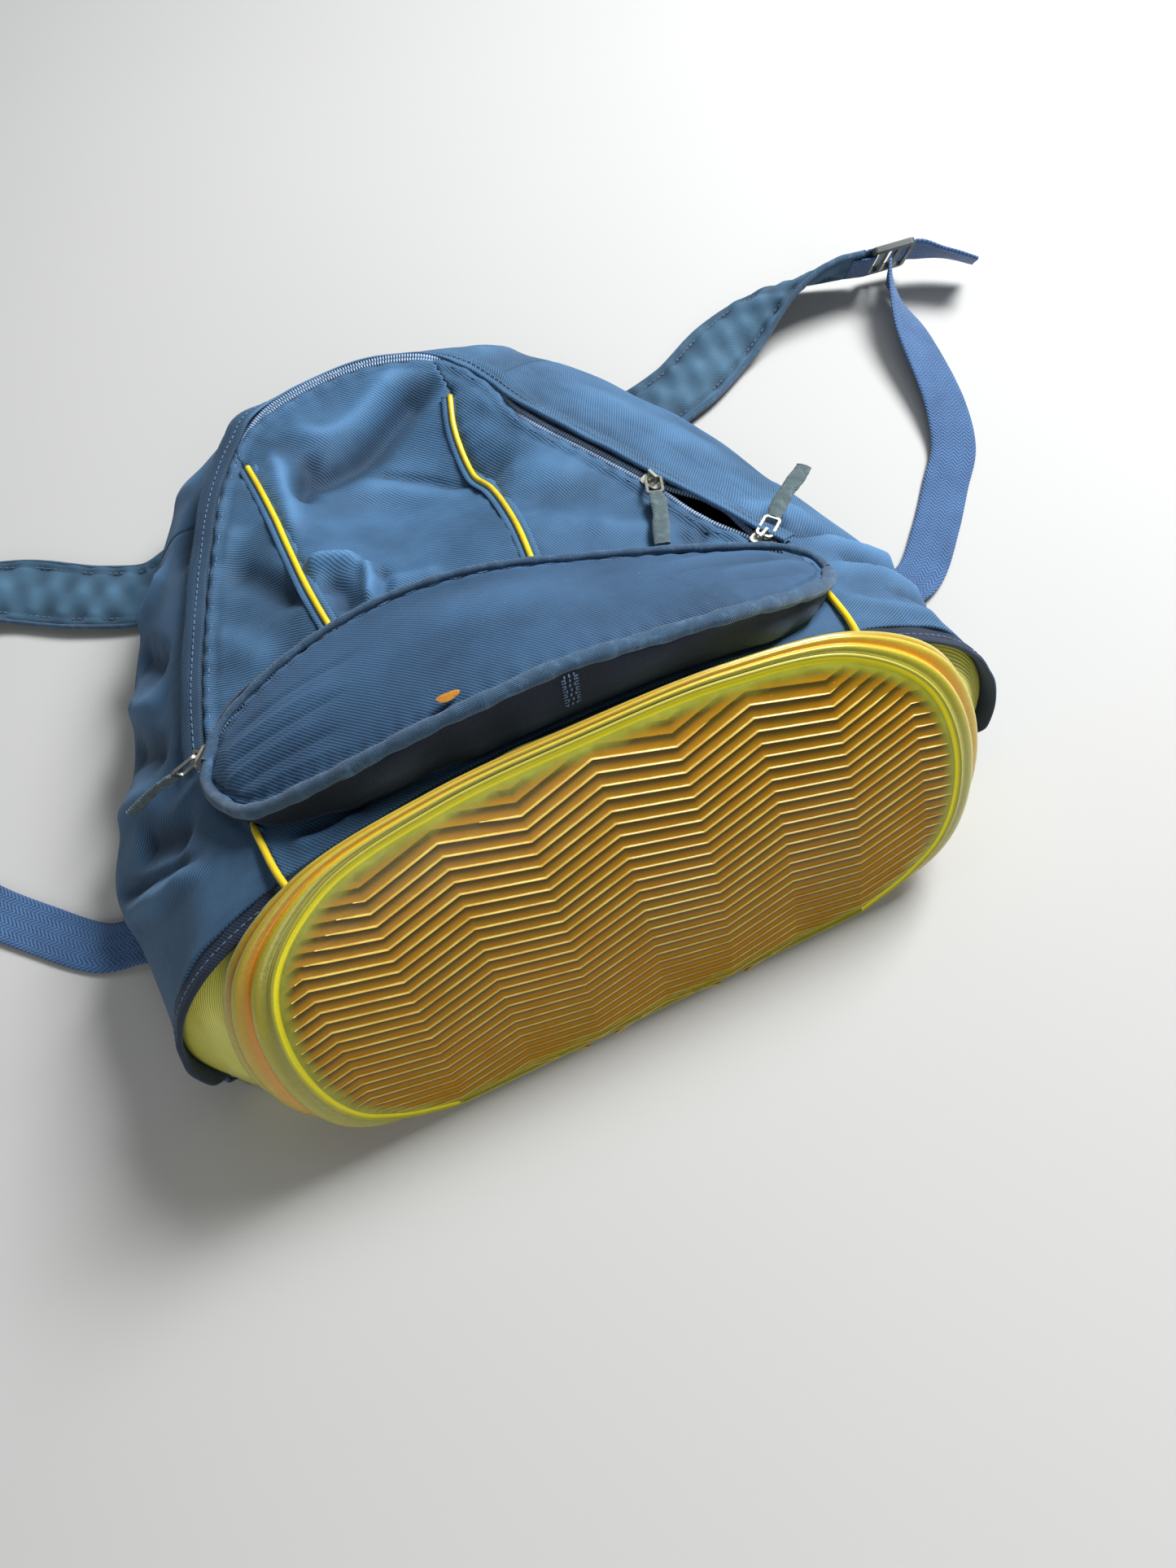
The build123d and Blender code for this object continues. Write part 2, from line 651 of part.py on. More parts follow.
def make_base():
    outer = loft([rim_face(), hem_face(0, HEM_DEPTH)], ruled=True)
    inner = loft([rim_face(RUBBER), hem_face(RUBBER, HEM_DEPTH)], ruled=True)
    wall = outer - inner
    lean_y, lean = BASE_MID
    cut_out = Vector(0, -1, lean).normalized()
    cut = Plane(origin=at(0, lean_y, 0), x_dir=(1, 0, 0), z_dir=cut_out)
    toe_side = cut * Pos(0, 0, 150) * Box(600, 600, 300)
    tread = tread_layer(0, 0, -TREAD_T)
    save("base_band", wall - toe_side - tread)
    above_floor = Pos(0, 0, 200) * Box(800, 800, 400)
    save("base_cup", (wall + tread) & toe_side & above_floor)
    save("base_insert", tread_layer(9, -TREAD_T - 0.2, -TREAD_T - 1.4))
    save("hem_binding", loft([hem_face(-1.5, HEM_DEPTH - 0.1), hem_face(-1.5, 0.1)], ruled=True)
         - loft([hem_face(3.5, HEM_DEPTH + 1), hem_face(3.5, -1)], ruled=True))
    board = rim_plane(-12) * Pos(0, -6, 0) * extrude(RectangleRounded(280, 108, 50), 3)
    save("base_board", board)


# ---- straps ----
# Each strap leaves from under the bag at its hinge line, which "cut" runs along,
# and comes back to its anchor tab through the ladder lock.
STRAPS = {
    "right": {
        "cut": (-0.25, 0.968, 0),
        "root": [(30, 398, 4.4), (88, 364, 4.4), (136, 343, 4.6), (180, 350.5, 5)],
        "pad": [((182, 351, 5), (-0.25, 0.968, 0), 43), ((222, 371, 6.4), (-0.42, 0.9, 0), 43),
                ((262, 385, 13.6), (-0.1, 0.88, -0.45), 42), ((298, 383, 20.4), (0.1, 0.6, -0.8), 38),
                ((321, 378, 21.5), (0.15, 0.48, -0.866), 31)],
        "buckle": ((339, 374.5, 21.5), (0.98, -0.19, 0.06), (0.15, 0.48, -0.866)),
        "tail": [((356, 368, 25), (0.15, 0.48, -0.866)), ((368, 360, 23), (0.3, 0.6, -0.74)),
                 ((384, 346, 20), (0.35, 0.65, -0.68))],
        "anchor": [(192, 152, 7.4), (211, 157, 5.4), (228, 163.5, 2.2)],
        "webbing": [((230, 164, 2.2), (-0.25, 0.968, 0)), ((256, 188, 1.4), (-0.68, 0.73, 0)),
                    ((278, 212, 1.8), (-0.8, 0.6, 0)), ((296, 232, 4), (-0.93, 0.36, 0)),
                    ((309, 262, 8), (-0.96, 0.25, 0.15)), ((322, 318, 13), (-0.85, 0.25, 0.45)),
                    ((331, 352, 16), (-0.45, -0.1, 0.85))],
    },
    "left": {
        "cut": (0.197, 0.98, 0),
        "root": [(-70, 398, 4.4), (-120, 366, 4.4), (-150, 356, 4.6), (-181, 368.6, 5)],
        "pad": [((-183, 369, 5), (0.197, 0.98, 0), 43), ((-222, 394, 6.4), (0.45, 0.89, 0), 43),
                ((-262, 409, 13.6), (0.1, 0.88, -0.45), 42),
                ((-298, 405, 20.4), (-0.1, 0.6, -0.8), 38),
                ((-321, 398, 21.5), (-0.15, 0.48, -0.866), 31)],
        "buckle": ((-338.5, 392, 21.5), (-0.96, -0.26, 0.06), (-0.15, 0.48, -0.866)),
        "tail": [((-355, 384, 25), (-0.15, 0.48, -0.866)), ((-366, 375, 23), (-0.3, 0.6, -0.74)),
                 ((-378, 359, 20), (-0.35, 0.65, -0.68))],
        "anchor": [(-192, 143, 7.4), (-209, 149, 5.4), (-225, 154.6, 2.2)],
        "webbing": [((-227, 155, 2.2), (0.197, 0.98, 0)), ((-254, 180, 1.4), (0.68, 0.73, 0)),
                    ((-277, 205, 1.8), (0.8, 0.6, 0)), ((-294, 231, 3), (0.93, 0.36, 0)),
                    ((-308, 268, 6), (0.96, 0.25, 0.15)), ((-321, 332, 12), (0.85, 0.25, 0.45)),
                    ((-330, 369, 16), (0.45, -0.1, 0.85))],
    },
}


def buckle_frame(centre, ahead, across):
    ahead, across = Vector(*ahead), Vector(*across)
    return Plane(origin=at(*centre), x_dir=ahead, z_dir=ahead.cross(across))


def first_bar_x():
    return -BUCKLE_L / 2 + BAR / 2


def ladder_lock():
    """Ladder buckle in its own frame: X along the strap, Y along its bars."""
    plate = Pos(0, 0, -BUCKLE_T / 2) * extrude(RectangleRounded(BUCKLE_L, BUCKLE_W, 3), BUCKLE_T)
    slot = (BUCKLE_L - 4 * BAR) / 3
    for k in range(3):
        x = -BUCKLE_L / 2 + BAR + slot / 2 + k * (slot + BAR)
        plate -= Pos(x, 0, 0) * Box(slot, SLOT_W, 2 * BUCKLE_T)
    thin = Pos(first_bar_x(), 0, 0) * Box(BAR, SLOT_W, BUCKLE_T)
    bar = Pos(first_bar_x(), 0, 0) * Box(BAR - 0.2, SLOT_W + 1, BUCKLE_T - 1.6)
    return fillet(plate.edges().filter_by(GeomType.CIRCLE), 0.5) - thin + bar


def buckle_loop():
    """Webbing loop round the first bar, with a tail that runs back into the pad."""
    outer = Box(BAR + 1.8 + 2 * LOOP_T, WEB_W, BUCKLE_T - 0.4 + 2 * LOOP_T)
    hole = Box(BAR + 1.8, WEB_W + 2, BUCKLE_T - 0.4)
    return Pos(first_bar_x() - 0.4, 0, 0) * (outer - hole)


def flat_stations(points, width, last_across):
    """Stations of a strap that lies flat, its end cut along last_across."""
    rows = []
    for k, point in enumerate(points):
        before = Vector(*points[max(k - 1, 0)])
        after = Vector(*points[min(k + 1, len(points) - 1)])
        ahead = after - before
        across = Vector(-ahead.Y, ahead.X, 0)
        rows.append((at(*point), last_across if k == len(points) - 1 else across, width))
    return rows


def stations(rows, width=None):
    return [(at(*row[0]), Vector(*row[1]), width or row[2]) for row in rows]


def make_straps():
    for side, strap in STRAPS.items():
        cut = Vector(*strap["cut"])
        root = flat_stations(strap["root"], STRAP_W, cut)
        save(f"strap_root_{side}", ribbon(root, PAD_T))
        save(f"strap_pad_{side}", ribbon(stations(strap["pad"]), PAD_T))
        save(f"webbing_anchor_{side}", ribbon(flat_stations(strap["anchor"], WEB_W, cut), WEB_T))
        save(f"webbing_{side}", ribbon(stations(strap["webbing"], WEB_W), WEB_T))
        save(f"webbing_tail_{side}", ribbon(stations(strap["tail"], WEB_W), WEB_T))
        frame = buckle_frame(*strap["buckle"])
        save(f"ladder_lock_{side}", frame * ladder_lock())
        save(f"buckle_loop_{side}", frame * buckle_loop())


# ---- haul loop ----


def make_haul_loop():
    tabs = [Pos(HAUL_X + sign * HAUL_HALF, 0, HAUL_Z) * Location(at(0, HAUL_Y - 15, 0)) * Box(12, 28, 3)
            for sign in [-1, 1]]
    save("haul_loop_tabs", Compound(children=tabs))
    rows = []
    for angle in range(0, 181, 20):
        turn = angle * pi / 180
        out = Vector(cos(turn), sin(turn))
        place = at(HAUL_X + HAUL_HALF * out.X, HAUL_Y + 1 + HAUL_REACH * out.Y, HAUL_Z)
        rows.append((place, Vector(out.X, out.Y, 0), 11))
    save("haul_loop", ribbon(rows, 3))


make_front()
make_upper_piping()
make_lower_piping()
make_gussets()
make_back()
make_main_zip()
make_main_sliders()
make_pocket()
make_pocket_trim()
make_pocket_zip()
make_pocket_slider()
make_zip_ends()
make_base()
make_tread_ribs()
make_straps()
make_haul_loop()
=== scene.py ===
import math
import bpy
import numpy as np
from mathutils import Matrix, Vector
from mathutils.geometry import delaunay_2d_cdt


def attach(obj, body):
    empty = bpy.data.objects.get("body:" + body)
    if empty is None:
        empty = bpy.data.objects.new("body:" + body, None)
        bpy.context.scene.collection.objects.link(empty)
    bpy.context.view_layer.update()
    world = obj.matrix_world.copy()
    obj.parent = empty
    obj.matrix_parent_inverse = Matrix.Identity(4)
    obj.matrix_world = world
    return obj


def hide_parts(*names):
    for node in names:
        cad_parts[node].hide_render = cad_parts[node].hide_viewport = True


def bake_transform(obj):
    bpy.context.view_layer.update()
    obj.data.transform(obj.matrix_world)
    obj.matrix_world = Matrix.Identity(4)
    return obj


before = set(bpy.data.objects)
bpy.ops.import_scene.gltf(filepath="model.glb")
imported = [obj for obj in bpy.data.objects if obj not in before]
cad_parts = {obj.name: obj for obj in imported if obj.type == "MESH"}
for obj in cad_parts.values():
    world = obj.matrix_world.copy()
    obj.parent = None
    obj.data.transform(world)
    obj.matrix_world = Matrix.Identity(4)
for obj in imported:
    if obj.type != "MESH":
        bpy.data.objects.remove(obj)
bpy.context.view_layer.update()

# Lengths are millimetres until a mesh is made. Y is counted from the toe line, as in the CAD part.
REST_Y = 212.0
UP = np.array([0.0, 0.0, 1.0])


def metres(points):
    return (np.asarray(points, float) - [0, REST_Y, 0]) / 1000


# ---- lines and surfaces ----
def lengths(line):
    """Run along a polyline at each of its points."""
    steps = np.linalg.norm(np.diff(line[:, :3], axis=0), axis=1)
    return np.concatenate([[0], np.cumsum(steps)])


def resample(line, count):
    """Evenly spaced places along a polyline; columns after the third are carried along."""
    run = lengths(line)
    even = np.linspace(0, run[-1], count)
    return np.stack([np.interp(even, run, line[:, i]) for i in range(line.shape[1])], 1)


def smooth(points, count):
    """Evenly spaced places on a smooth line through these points."""
    p = np.array(points, float)
    steps = np.sqrt(np.linalg.norm(np.diff(p[:, :3], axis=0), axis=1)) + 1e-9
    knots = np.concatenate([[0], np.cumsum(steps)])
    slopes = np.diff(p, axis=0) / steps[:, None]
    ends = np.empty_like(p)
    weight = steps[:-1] + steps[1:]
    ends[1:-1] = (slopes[:-1] * steps[1:, None] + slopes[1:] * steps[:-1, None]) / weight[:, None]
    ends[0], ends[-1] = slopes[0], slopes[-1]
    fine = np.linspace(0, knots[-1], 40 * len(p))
    k = np.clip(np.searchsorted(knots, fine, side="right") - 1, 0, len(p) - 2)
    u = ((fine - knots[k]) / steps[k])[:, None]
    h = steps[k][:, None]
    line = ((2 * u**3 - 3 * u**2 + 1) * p[k] + (u**3 - 2 * u**2 + u) * h * ends[k]
            + (3 * u**2 - 2 * u**3) * p[k + 1] + (u**3 - u**2) * h * ends[k + 1])
    return resample(line, count)


def unit(v):
    v = np.asarray(v, float)
    return v / np.maximum(np.linalg.norm(v, axis=-1, keepdims=True), 1e-9)


def tangents(line, loop=False):
    if loop:
        return unit(np.roll(line, -1, 0) - np.roll(line, 1, 0))
    return unit(np.gradient(line, axis=0))


def step(x, low, high):
    """0 below low, 1 above high, smooth between."""
    t = np.clip((np.asarray(x, float) - low) / (high - low), 0, 1)
    return t * t * (3 - 2 * t)


def grid_faces(rows, cols, wrap_rows=False, wrap_cols=False):
    r = np.arange(rows if wrap_rows else rows - 1)[:, None]
    c = np.arange(cols if wrap_cols else cols - 1)[None, :]
    r2, c2 = (r + 1) % rows, (c + 1) % cols
    quads = np.stack([r * cols + c, r * cols + c2, r2 * cols + c2, r2 * cols + c], -1)
    return quads.reshape(-1, 4).tolist()


def near_line(points, line):
    """Distance from each point to a polyline, and the place along it, 0 to 1."""
    points, line = np.asarray(points, float), np.asarray(line, float)
    run = lengths(line)
    best = np.full(len(points), 1e9)
    place = np.zeros(len(points))
    for k in range(len(line) - 1):
        d = line[k + 1] - line[k]
        t = np.clip(((points - line[k]) @ d) / (d @ d), 0, 1)
        gap = np.linalg.norm(points - line[k] - t[:, None] * d, axis=1)
        closer = gap < best
        best[closer] = gap[closer]
        place[closer] = ((run[k] + t * (run[k + 1] - run[k])) / run[-1])[closer]
    return best, place


def edge_gap(points, outline):
    """Distance from each point to a closed outline."""
    return near_line(points, np.vstack([outline, outline[:1]]))[0]


def ripples(points, size, count, seed):
    """Smooth random waves of about unit height; size is a wavelength."""
    rng = np.random.default_rng(seed)
    total = np.zeros(len(points))
    for _ in range(count):
        direction = unit(rng.normal(size=3)) * 2 * math.pi / (size * rng.uniform(0.7, 1.6))
        total += np.sin(points @ direction + rng.uniform(0, 6.28))
    return total / math.sqrt(count)


def relief(points, folds):
    """Sum of folds, each (line, height, width); a fold fades out at both ends of its line."""
    total = np.zeros(len(points))
    for line, height, width in folds:
        line = np.array(line, float)
        flat = points[:, :line.shape[1]]
        if len(line) > 2:
            line = smooth(line, 24)
        gap, place = near_line(flat, line)
        total += height * np.exp(-(gap / width) ** 2) * np.clip(np.minimum(place, 1 - place) * 5, 0, 1)
    return total


def puckers(points, line, height, reach, wave, seed=0):
    """Short gathers across a seam, dying away from it."""
    gap, place = near_line(points[:, :line.shape[1]], line)
    run = place * np.linalg.norm(np.diff(line, axis=0), axis=1).sum()
    phase = 2 * math.pi * run / wave + 1.7 * np.sin(run / (wave * 2.3) + seed) + seed
    return height * np.sin(phase) * np.exp(-gap / reach)


# ---- meshes ----
def listed(faces):
    return faces.tolist() if isinstance(faces, np.ndarray) else [list(f) for f in faces]


def build(name, points, faces, material, body="bag", weave=None, marks=None, replaces=(),
          slot=None, thickness=0.0):
    """A piece from millimetre points, riding on its body."""
    mesh = bpy.data.meshes.new(name)
    mesh.from_pydata(metres(points).tolist(), [], listed(faces))
    weave = np.asarray(points if weave is None else weave, float)
    if weave.shape[1] == 2:
        weave = np.column_stack([weave, np.zeros(len(weave))])
    attribute = mesh.attributes.new("weave", "FLOAT_VECTOR", "POINT")
    attribute.data.foreach_set("vector", weave.astype(np.float32).ravel())
    for mark, values in (marks or {}).items():
        layer = mesh.attributes.new(mark, "FLOAT", "POINT")
        layer.data.foreach_set("value", np.broadcast_to(values, len(points)).astype(np.float32))
    mesh.validate()
    mesh.shade_smooth()
    mesh.materials.append(material)
    piece = bpy.data.objects.new(name, mesh)
    bpy.context.scene.collection.objects.link(piece)
    if thickness:
        solid = piece.modifiers.new("thickness", "SOLIDIFY")
        solid.thickness = thickness / 1000
        solid.offset = -1
        solid.use_even_offset = False
    if body:
        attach(piece, body)
    if replaces:
        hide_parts(*replaces)
    return piece


def normals_of(points, faces):
    """Vertex normals; a face with more than four corners counts by its first four."""
    corners = np.array([f[:4] if len(f) >= 4 else [*f, f[0]] for f in listed(faces)])
    a, b, c = (points[corners[:, i]] for i in range(3))
    face_normals = np.cross(b - a, c - a)
    total = np.zeros_like(points)
    for corner in corners.T:
        np.add.at(total, corner, face_normals)
    return unit(total)


def sweep(centres, across, up, profile, loop=False):
    """Points and faces of a closed cross-section carried along a line; weave is run and offset."""
    n = len(centres)
    across, up = np.broadcast_to(across, (n, 3)), np.broadcast_to(up, (n, 3))
    profile = np.broadcast_to(profile, (n,) + np.shape(profile)[-2:])
    m = profile.shape[1]
    points = centres[:, None] + across[:, None] * profile[..., 0:1] + up[:, None] * profile[..., 1:2]
    faces = grid_faces(n, m, wrap_rows=loop, wrap_cols=True)
    if not loop:
        faces += [list(range(m)), list(range(n * m - 1, n * m - m - 1, -1))]
    weave = np.stack([np.repeat(lengths(centres), m), profile[..., 0].ravel()], 1)
    return points.reshape(-1, 3), faces, weave


def frame_along(line, hint):
    """Across and up directions along a line; hint is roughly up."""
    ahead = tangents(line)
    across = unit(np.cross(ahead, np.broadcast_to(hint, line.shape)))
    return across, np.cross(across, ahead)


def circle(radius, sides=10):
    angle = np.arange(sides) * 2 * math.pi / sides
    return np.stack([np.cos(angle) * radius, np.sin(angle) * radius], 1)


def slab(width, height, cuts=8):
    """Flat cross-section with rounded edges."""
    half, r = width / 2, height / 2
    across = np.linspace(-(half - r * 0.45), half - r * 0.45, cuts)
    top = [(x, r) for x in across]
    right = [(half, r * 0.4), (half, -r * 0.4)]
    bottom = [(x, -r) for x in across[::-1]]
    left = [(-half, -r * 0.4), (-half, r * 0.4)]
    return np.array(top + right + bottom + left)[::-1]


class Heap:
    """Several small closed shapes gathered into one mesh."""

    def __init__(self):
        self.points, self.faces, self.weave, self.count = [], [], [], 0

    def add(self, points, faces, weave=None):
        self.points.append(points)
        self.faces += [[i + self.count for i in f] for f in faces]
        self.weave.append(np.asarray(weave) if weave is not None else points[:, :2])
        self.count += len(points)

    def piece(self, name, material, **options):
        return build(name, np.vstack(self.points), self.faces, material,
                     weave=np.vstack(self.weave), **options)


def bead(length, width, height):
    """Small rounded block: four rings of six points, closed at both ends."""
    rings = []
    for x, r in [(-1, 0.55), (-0.6, 1), (0.6, 1), (1, 0.55)]:
        for k in range(6):
            a = (k + 0.5) * math.pi / 3
            rings.append((x * length / 2, math.cos(a) * r * width / 2, math.sin(a) * r * height / 2))
    faces = grid_faces(4, 6, wrap_cols=True) + [list(range(5, -1, -1)), list(range(18, 24))]
    return np.array(rings), faces


def place_beads(heap, shape, places, ahead, across, up):
    points, faces = shape
    for p, a, b, c in zip(places, ahead, across, up):
        moved = p + points[:, :1] * a + points[:, 1:2] * b + points[:, 2:] * c
        heap.add(moved, faces)


def stitches(heap, line, up, gap=3.6, size=2.5, thick=0.55):
    """A row of thread stitches along a line that lies on a surface."""
    total = lengths(line)[-1]
    count = max(int(total / gap), 2)
    places = resample(line, count)
    ahead = tangents(places)
    up = resample(np.column_stack([line, up]), count)[:, 3:] if np.ndim(up) > 1 else np.tile(up, (count, 1))
    across = unit(np.cross(up, ahead))
    place_beads(heap, bead(size, thick, thick * 0.8), places, ahead, across, np.cross(ahead, across))


# ---- materials ----
class Shader:
    """A Principled material with a few shorthands for its nodes."""

    def __init__(self, name, roughness=0.7, **sockets):
        self.material = bpy.data.materials.new(name)
        self.material.use_nodes = True
        self.tree = self.material.node_tree
        self.main = self.tree.nodes["Principled BSDF"]
        self.main.inputs["Roughness"].default_value = roughness
        for socket, value in sockets.items():
            self.main.inputs[socket.replace("_", " ")].default_value = value

    def put(self, kind, inputs, **settings):
        node = self.tree.nodes.new("ShaderNode" + kind)
        for key, value in settings.items():
            setattr(node, key, value)
        for key, value in inputs.items():
            if isinstance(value, bpy.types.NodeSocket):
                self.tree.links.new(value, node.inputs[key])
            elif value is not None:
                node.inputs[key].default_value = value
        return node

    def weave(self):
        """The cloth's own coordinates in millimetres."""
        return self.put("Attribute", {}, attribute_name="weave").outputs["Vector"]

    def mark(self, name):
        return self.put("Attribute", {}, attribute_name=name).outputs["Fac"]

    def split(self, vector):
        return self.put("SeparateXYZ", {0: vector}).outputs[:2]

    def sine(self, value, pitch):
        return self.math("SINE", self.math("MULTIPLY", value, 2 * math.pi / pitch))

    def place(self):
        return self.put("TexCoord", {}).outputs["Object"]

    def math(self, operation, a, b=None, c=None):
        return self.put("Math", {0: a, 1: b, 2: c}, operation=operation).outputs[0]

    def noise(self, vector, scale, detail=3.0, rough=0.55):
        node = self.put("TexNoise", {"Vector": vector, "Scale": scale, "Detail": detail, "Roughness": rough})
        return node.outputs["Fac"]

    def ramp(self, fac, stops):
        node = self.put("ValToRGB", {"Fac": fac})
        elements = node.color_ramp.elements
        while len(elements) < len(stops):
            elements.new(0.5)
        for element, (position, colour) in zip(elements, stops):
            element.position = position
            element.color = (*colour, 1) if np.ndim(colour) else (colour, colour, colour, 1)
        return node.outputs["Color"]

    def mix(self, fac, a, b):
        node = self.tree.nodes.new("ShaderNodeMix")
        node.data_type = "RGBA"
        for index, value in ((0, fac), (6, a), (7, b)):
            if isinstance(value, bpy.types.NodeSocket):
                self.tree.links.new(value, node.inputs[index])
            else:
                node.inputs[index].default_value = value if np.ndim(value) == 0 else (*value[:3], 1)
        return node.outputs[2]

    def bump(self, height, depth):
        """Surface normal raised by a height; depth is in millimetres."""
        node = self.put("Bump", {"Height": height, "Distance": depth / 1000, "Strength": 1.0})
        return node.outputs["Normal"]

    def finish(self, colour, normal=None, roughness=None):
        for socket, value in (("Base Color", colour), ("Normal", normal), ("Roughness", roughness)):
            if value is not None:
                self.tree.links.new(value, self.main.inputs[socket])
        return self.material


def shade(colour, share, lift=0.0):
    """A colour made lighter or darker."""
    return tuple(min(1.0, c * share + lift) for c in colour)


def linear(red, green, blue):
    """Linear colour from 0-255 display values."""
    return tuple((c / 255 / 12.92) if c < 11 else ((c / 255 + 0.055) / 1.055) ** 2.4
                 for c in (red, green, blue))


def twill(name, light, dark, pitch=1.25, worn=0.25):
    """Diagonal twill with faded patches and lint; folds painted lighter where raised (rubbed wear and painted
    light) and darker where sunk (painted shade).
    """
    lean = 0.8
    s = Shader(name, roughness=0.78, Sheen_Weight=0.25, Sheen_Roughness=0.45, Specular_IOR_Level=0.32)
    s.main.inputs["Sheen Tint"].default_value = (*linear(150, 180, 215), 1)
    weave = s.weave()
    x, y = s.split(weave)
    wander = s.math("MULTIPLY", s.noise(weave, 0.06, 2.0), 0.8)
    run = s.math("MULTIPLY_ADD", x, lean, wander)
    rib = s.sine(s.math("MULTIPLY_ADD", y, math.sqrt(1 - lean * lean), run), pitch)
    rib = s.math("MULTIPLY_ADD", rib, 0.5, 0.5)
    rib = s.math("MULTIPLY_ADD", s.sine(x, pitch * 0.62), 0.16, rib)
    fuzz = s.noise(weave, 2.6, 4.0, 0.7)
    height = s.math("MULTIPLY_ADD", fuzz, 0.9, rib)
    patches = s.ramp(s.noise(weave, 0.017, 4.0, 0.6), [(0.3, 0.0), (0.72, 1.0)])
    base = s.mix(s.math("MULTIPLY_ADD", rib, 0.55, s.math("MULTIPLY", patches, 0.45)), dark, light)
    # Per-vertex mark: lighter on raised folds (rubbed wear and painted light), darker in sunk folds (painted
    # shade).
    wear_and_shading = s.mark("wear_and_shading")
    raised = s.math("MAXIMUM", wear_and_shading, 0.0)
    base = s.mix(s.math("MULTIPLY", raised, 0.55), base, shade(light, 1.5, 0.02))
    sunk = s.math("MAXIMUM", s.math("MULTIPLY", wear_and_shading, -1.0), 0.0)
    base = s.mix(s.math("MULTIPLY", sunk, 0.7), base, shade(dark, 0.35))
    scuff = s.ramp(s.noise(weave, 0.22, 6.0, 0.75), [(0.64, 0.0), (0.74, 1.0)])
    scuff = s.math("MULTIPLY", scuff, s.ramp(s.noise(weave, 0.03, 2.0), [(0.5, 0.0), (0.65, 1.0)]))
    base = s.mix(s.math("MULTIPLY", scuff, worn), base, linear(150, 165, 185))
    lint = s.ramp(s.noise(weave, 0.75, 2.0), [(0.74, 0.0), (0.78, 1.0)])
    base = s.mix(s.math("MULTIPLY", lint, worn * 0.8), base, linear(190, 200, 215))
    return s.finish(base, s.bump(height, 0.11), s.math("MULTIPLY_ADD", fuzz, 0.25, 0.62))


def webbing_weave(name, light, dark):
    """Herringbone webbing, darker in stained patches."""
    s = Shader(name, roughness=0.7, Sheen_Weight=0.2, Specular_IOR_Level=0.35)
    weave = s.weave()
    x, y = s.split(weave)
    column = s.math("PINGPONG", s.math("ABSOLUTE", y), 3.1)
    slant = s.sine(s.math("MULTIPLY_ADD", column, 1.1, x), 2.4)
    height = s.math("MULTIPLY_ADD", s.sine(y, 1.55), 0.35, slant)
    height = s.math("MULTIPLY_ADD", s.noise(weave, 3.2, 3.0, 0.7), 0.8, height)
    base = s.mix(s.math("MULTIPLY_ADD", slant, 0.3, 0.5), dark, light)
    stain = s.ramp(s.noise(weave, 0.05, 4.0), [(0.35, 0.0), (0.7, 1.0)])
    base = s.mix(s.math("MULTIPLY", stain, 0.35), base, shade(dark, 0.6))
    return s.finish(base, s.bump(height, 0.2))


def plain_weave(name, light, dark, scale=0.9, depth=0.12):
    """Fine over-and-under weave for tapes, ribbons and bindings."""
    s = Shader(name, roughness=0.85, Sheen_Weight=0.2, Specular_IOR_Level=0.3)
    weave = s.weave()
    x, y = s.split(weave)
    cross = s.math("MULTIPLY", s.sine(x, scale), s.sine(y, scale))
    fuzz = s.noise(weave, 2.2, 5.0, 0.75)
    base = s.mix(s.math("MULTIPLY_ADD", cross, 0.25, fuzz), dark, light)
    worn = s.ramp(s.noise(weave, 0.18, 5.0, 0.7), [(0.5, 0.0), (0.75, 1.0)])
    base = s.mix(s.math("MULTIPLY", worn, 0.4), base, shade(light, 1.9, 0.03))
    return s.finish(base, s.bump(s.math("ADD", cross, fuzz), depth))


def rubber_face(name):
    """Tread: amber lands shading to olive grooves (painted light and shade of the sawtooth relief), pale
    margin and a yellow crease line.
    """
    s = Shader(name, roughness=0.42, Coat_Weight=0.1, Coat_Roughness=0.2, Specular_IOR_Level=0.3)
    weave = s.weave()
    x, y = s.split(weave)
    column = s.math("PINGPONG", s.math("DIVIDE", s.math("ABSOLUTE", x), KINK_PITCH), 1.0)
    turn = s.math("MULTIPLY_ADD", column, -2 * RIB_RISE, RIB_RISE)
    row = s.math("FRACT", s.math("DIVIDE", s.math("SUBTRACT", y, turn), RIB_PITCH))
    # Across each row the lands run from bright just past a rib to dark olive before the next: painted light
    # and shade of the sawtooth relief on the amber rubber.
    amber = s.ramp(row, [(0.0, linear(190, 140, 10)), (0.14, linear(186, 132, 2)),
                         (0.42, linear(158, 110, 1)), (0.62, linear(104, 78, 1)),
                         (0.86, linear(68, 56, 1)), (1.0, linear(100, 78, 3))])
    dull = s.ramp(row, [(0.0, linear(168, 126, 10)), (0.3, linear(136, 104, 4)), (0.85, linear(68, 66, 2))])
    land = s.mix(s.ramp(s.noise(weave, 0.03, 3.0), [(0.35, 0.0), (0.65, 0.55)]), amber, dull)
    inset = s.mark("inset")
    margin = s.mix(s.noise(weave, 0.09, 4.0), linear(120, 122, 24), linear(176, 178, 62))
    reach = s.math("MULTIPLY_ADD", s.noise(weave, 0.12, 3.0), 5.0, inset)
    base = s.mix(s.ramp(s.math("DIVIDE", reach, 24), [(0.3, 0.0), (0.5, 1.0)]), margin, land)
    crease = s.ramp(s.math("DIVIDE", inset, 12), [(0.1, 0.0), (0.17, 1.0), (0.26, 0.9), (0.32, 0.0)])
    base = s.mix(crease, base, linear(246, 232, 20))
    rim = s.ramp(s.math("DIVIDE", inset, 12), [(0.0, 1.0), (0.12, 0.0)])
    base = s.mix(rim, base, linear(186, 176, 70))
    specks = s.ramp(s.noise(weave, 0.5, 2.0), [(0.76, 0.0), (0.8, 1.0)])
    base = s.mix(s.math("MULTIPLY", specks, 0.5), base, linear(250, 230, 150))
    rough = s.math("MULTIPLY_ADD", s.noise(weave, 0.15, 5.0), 0.3, 0.26)
    return s.finish(base, s.bump(s.noise(weave, 0.7, 4.0), 0.12), rough)


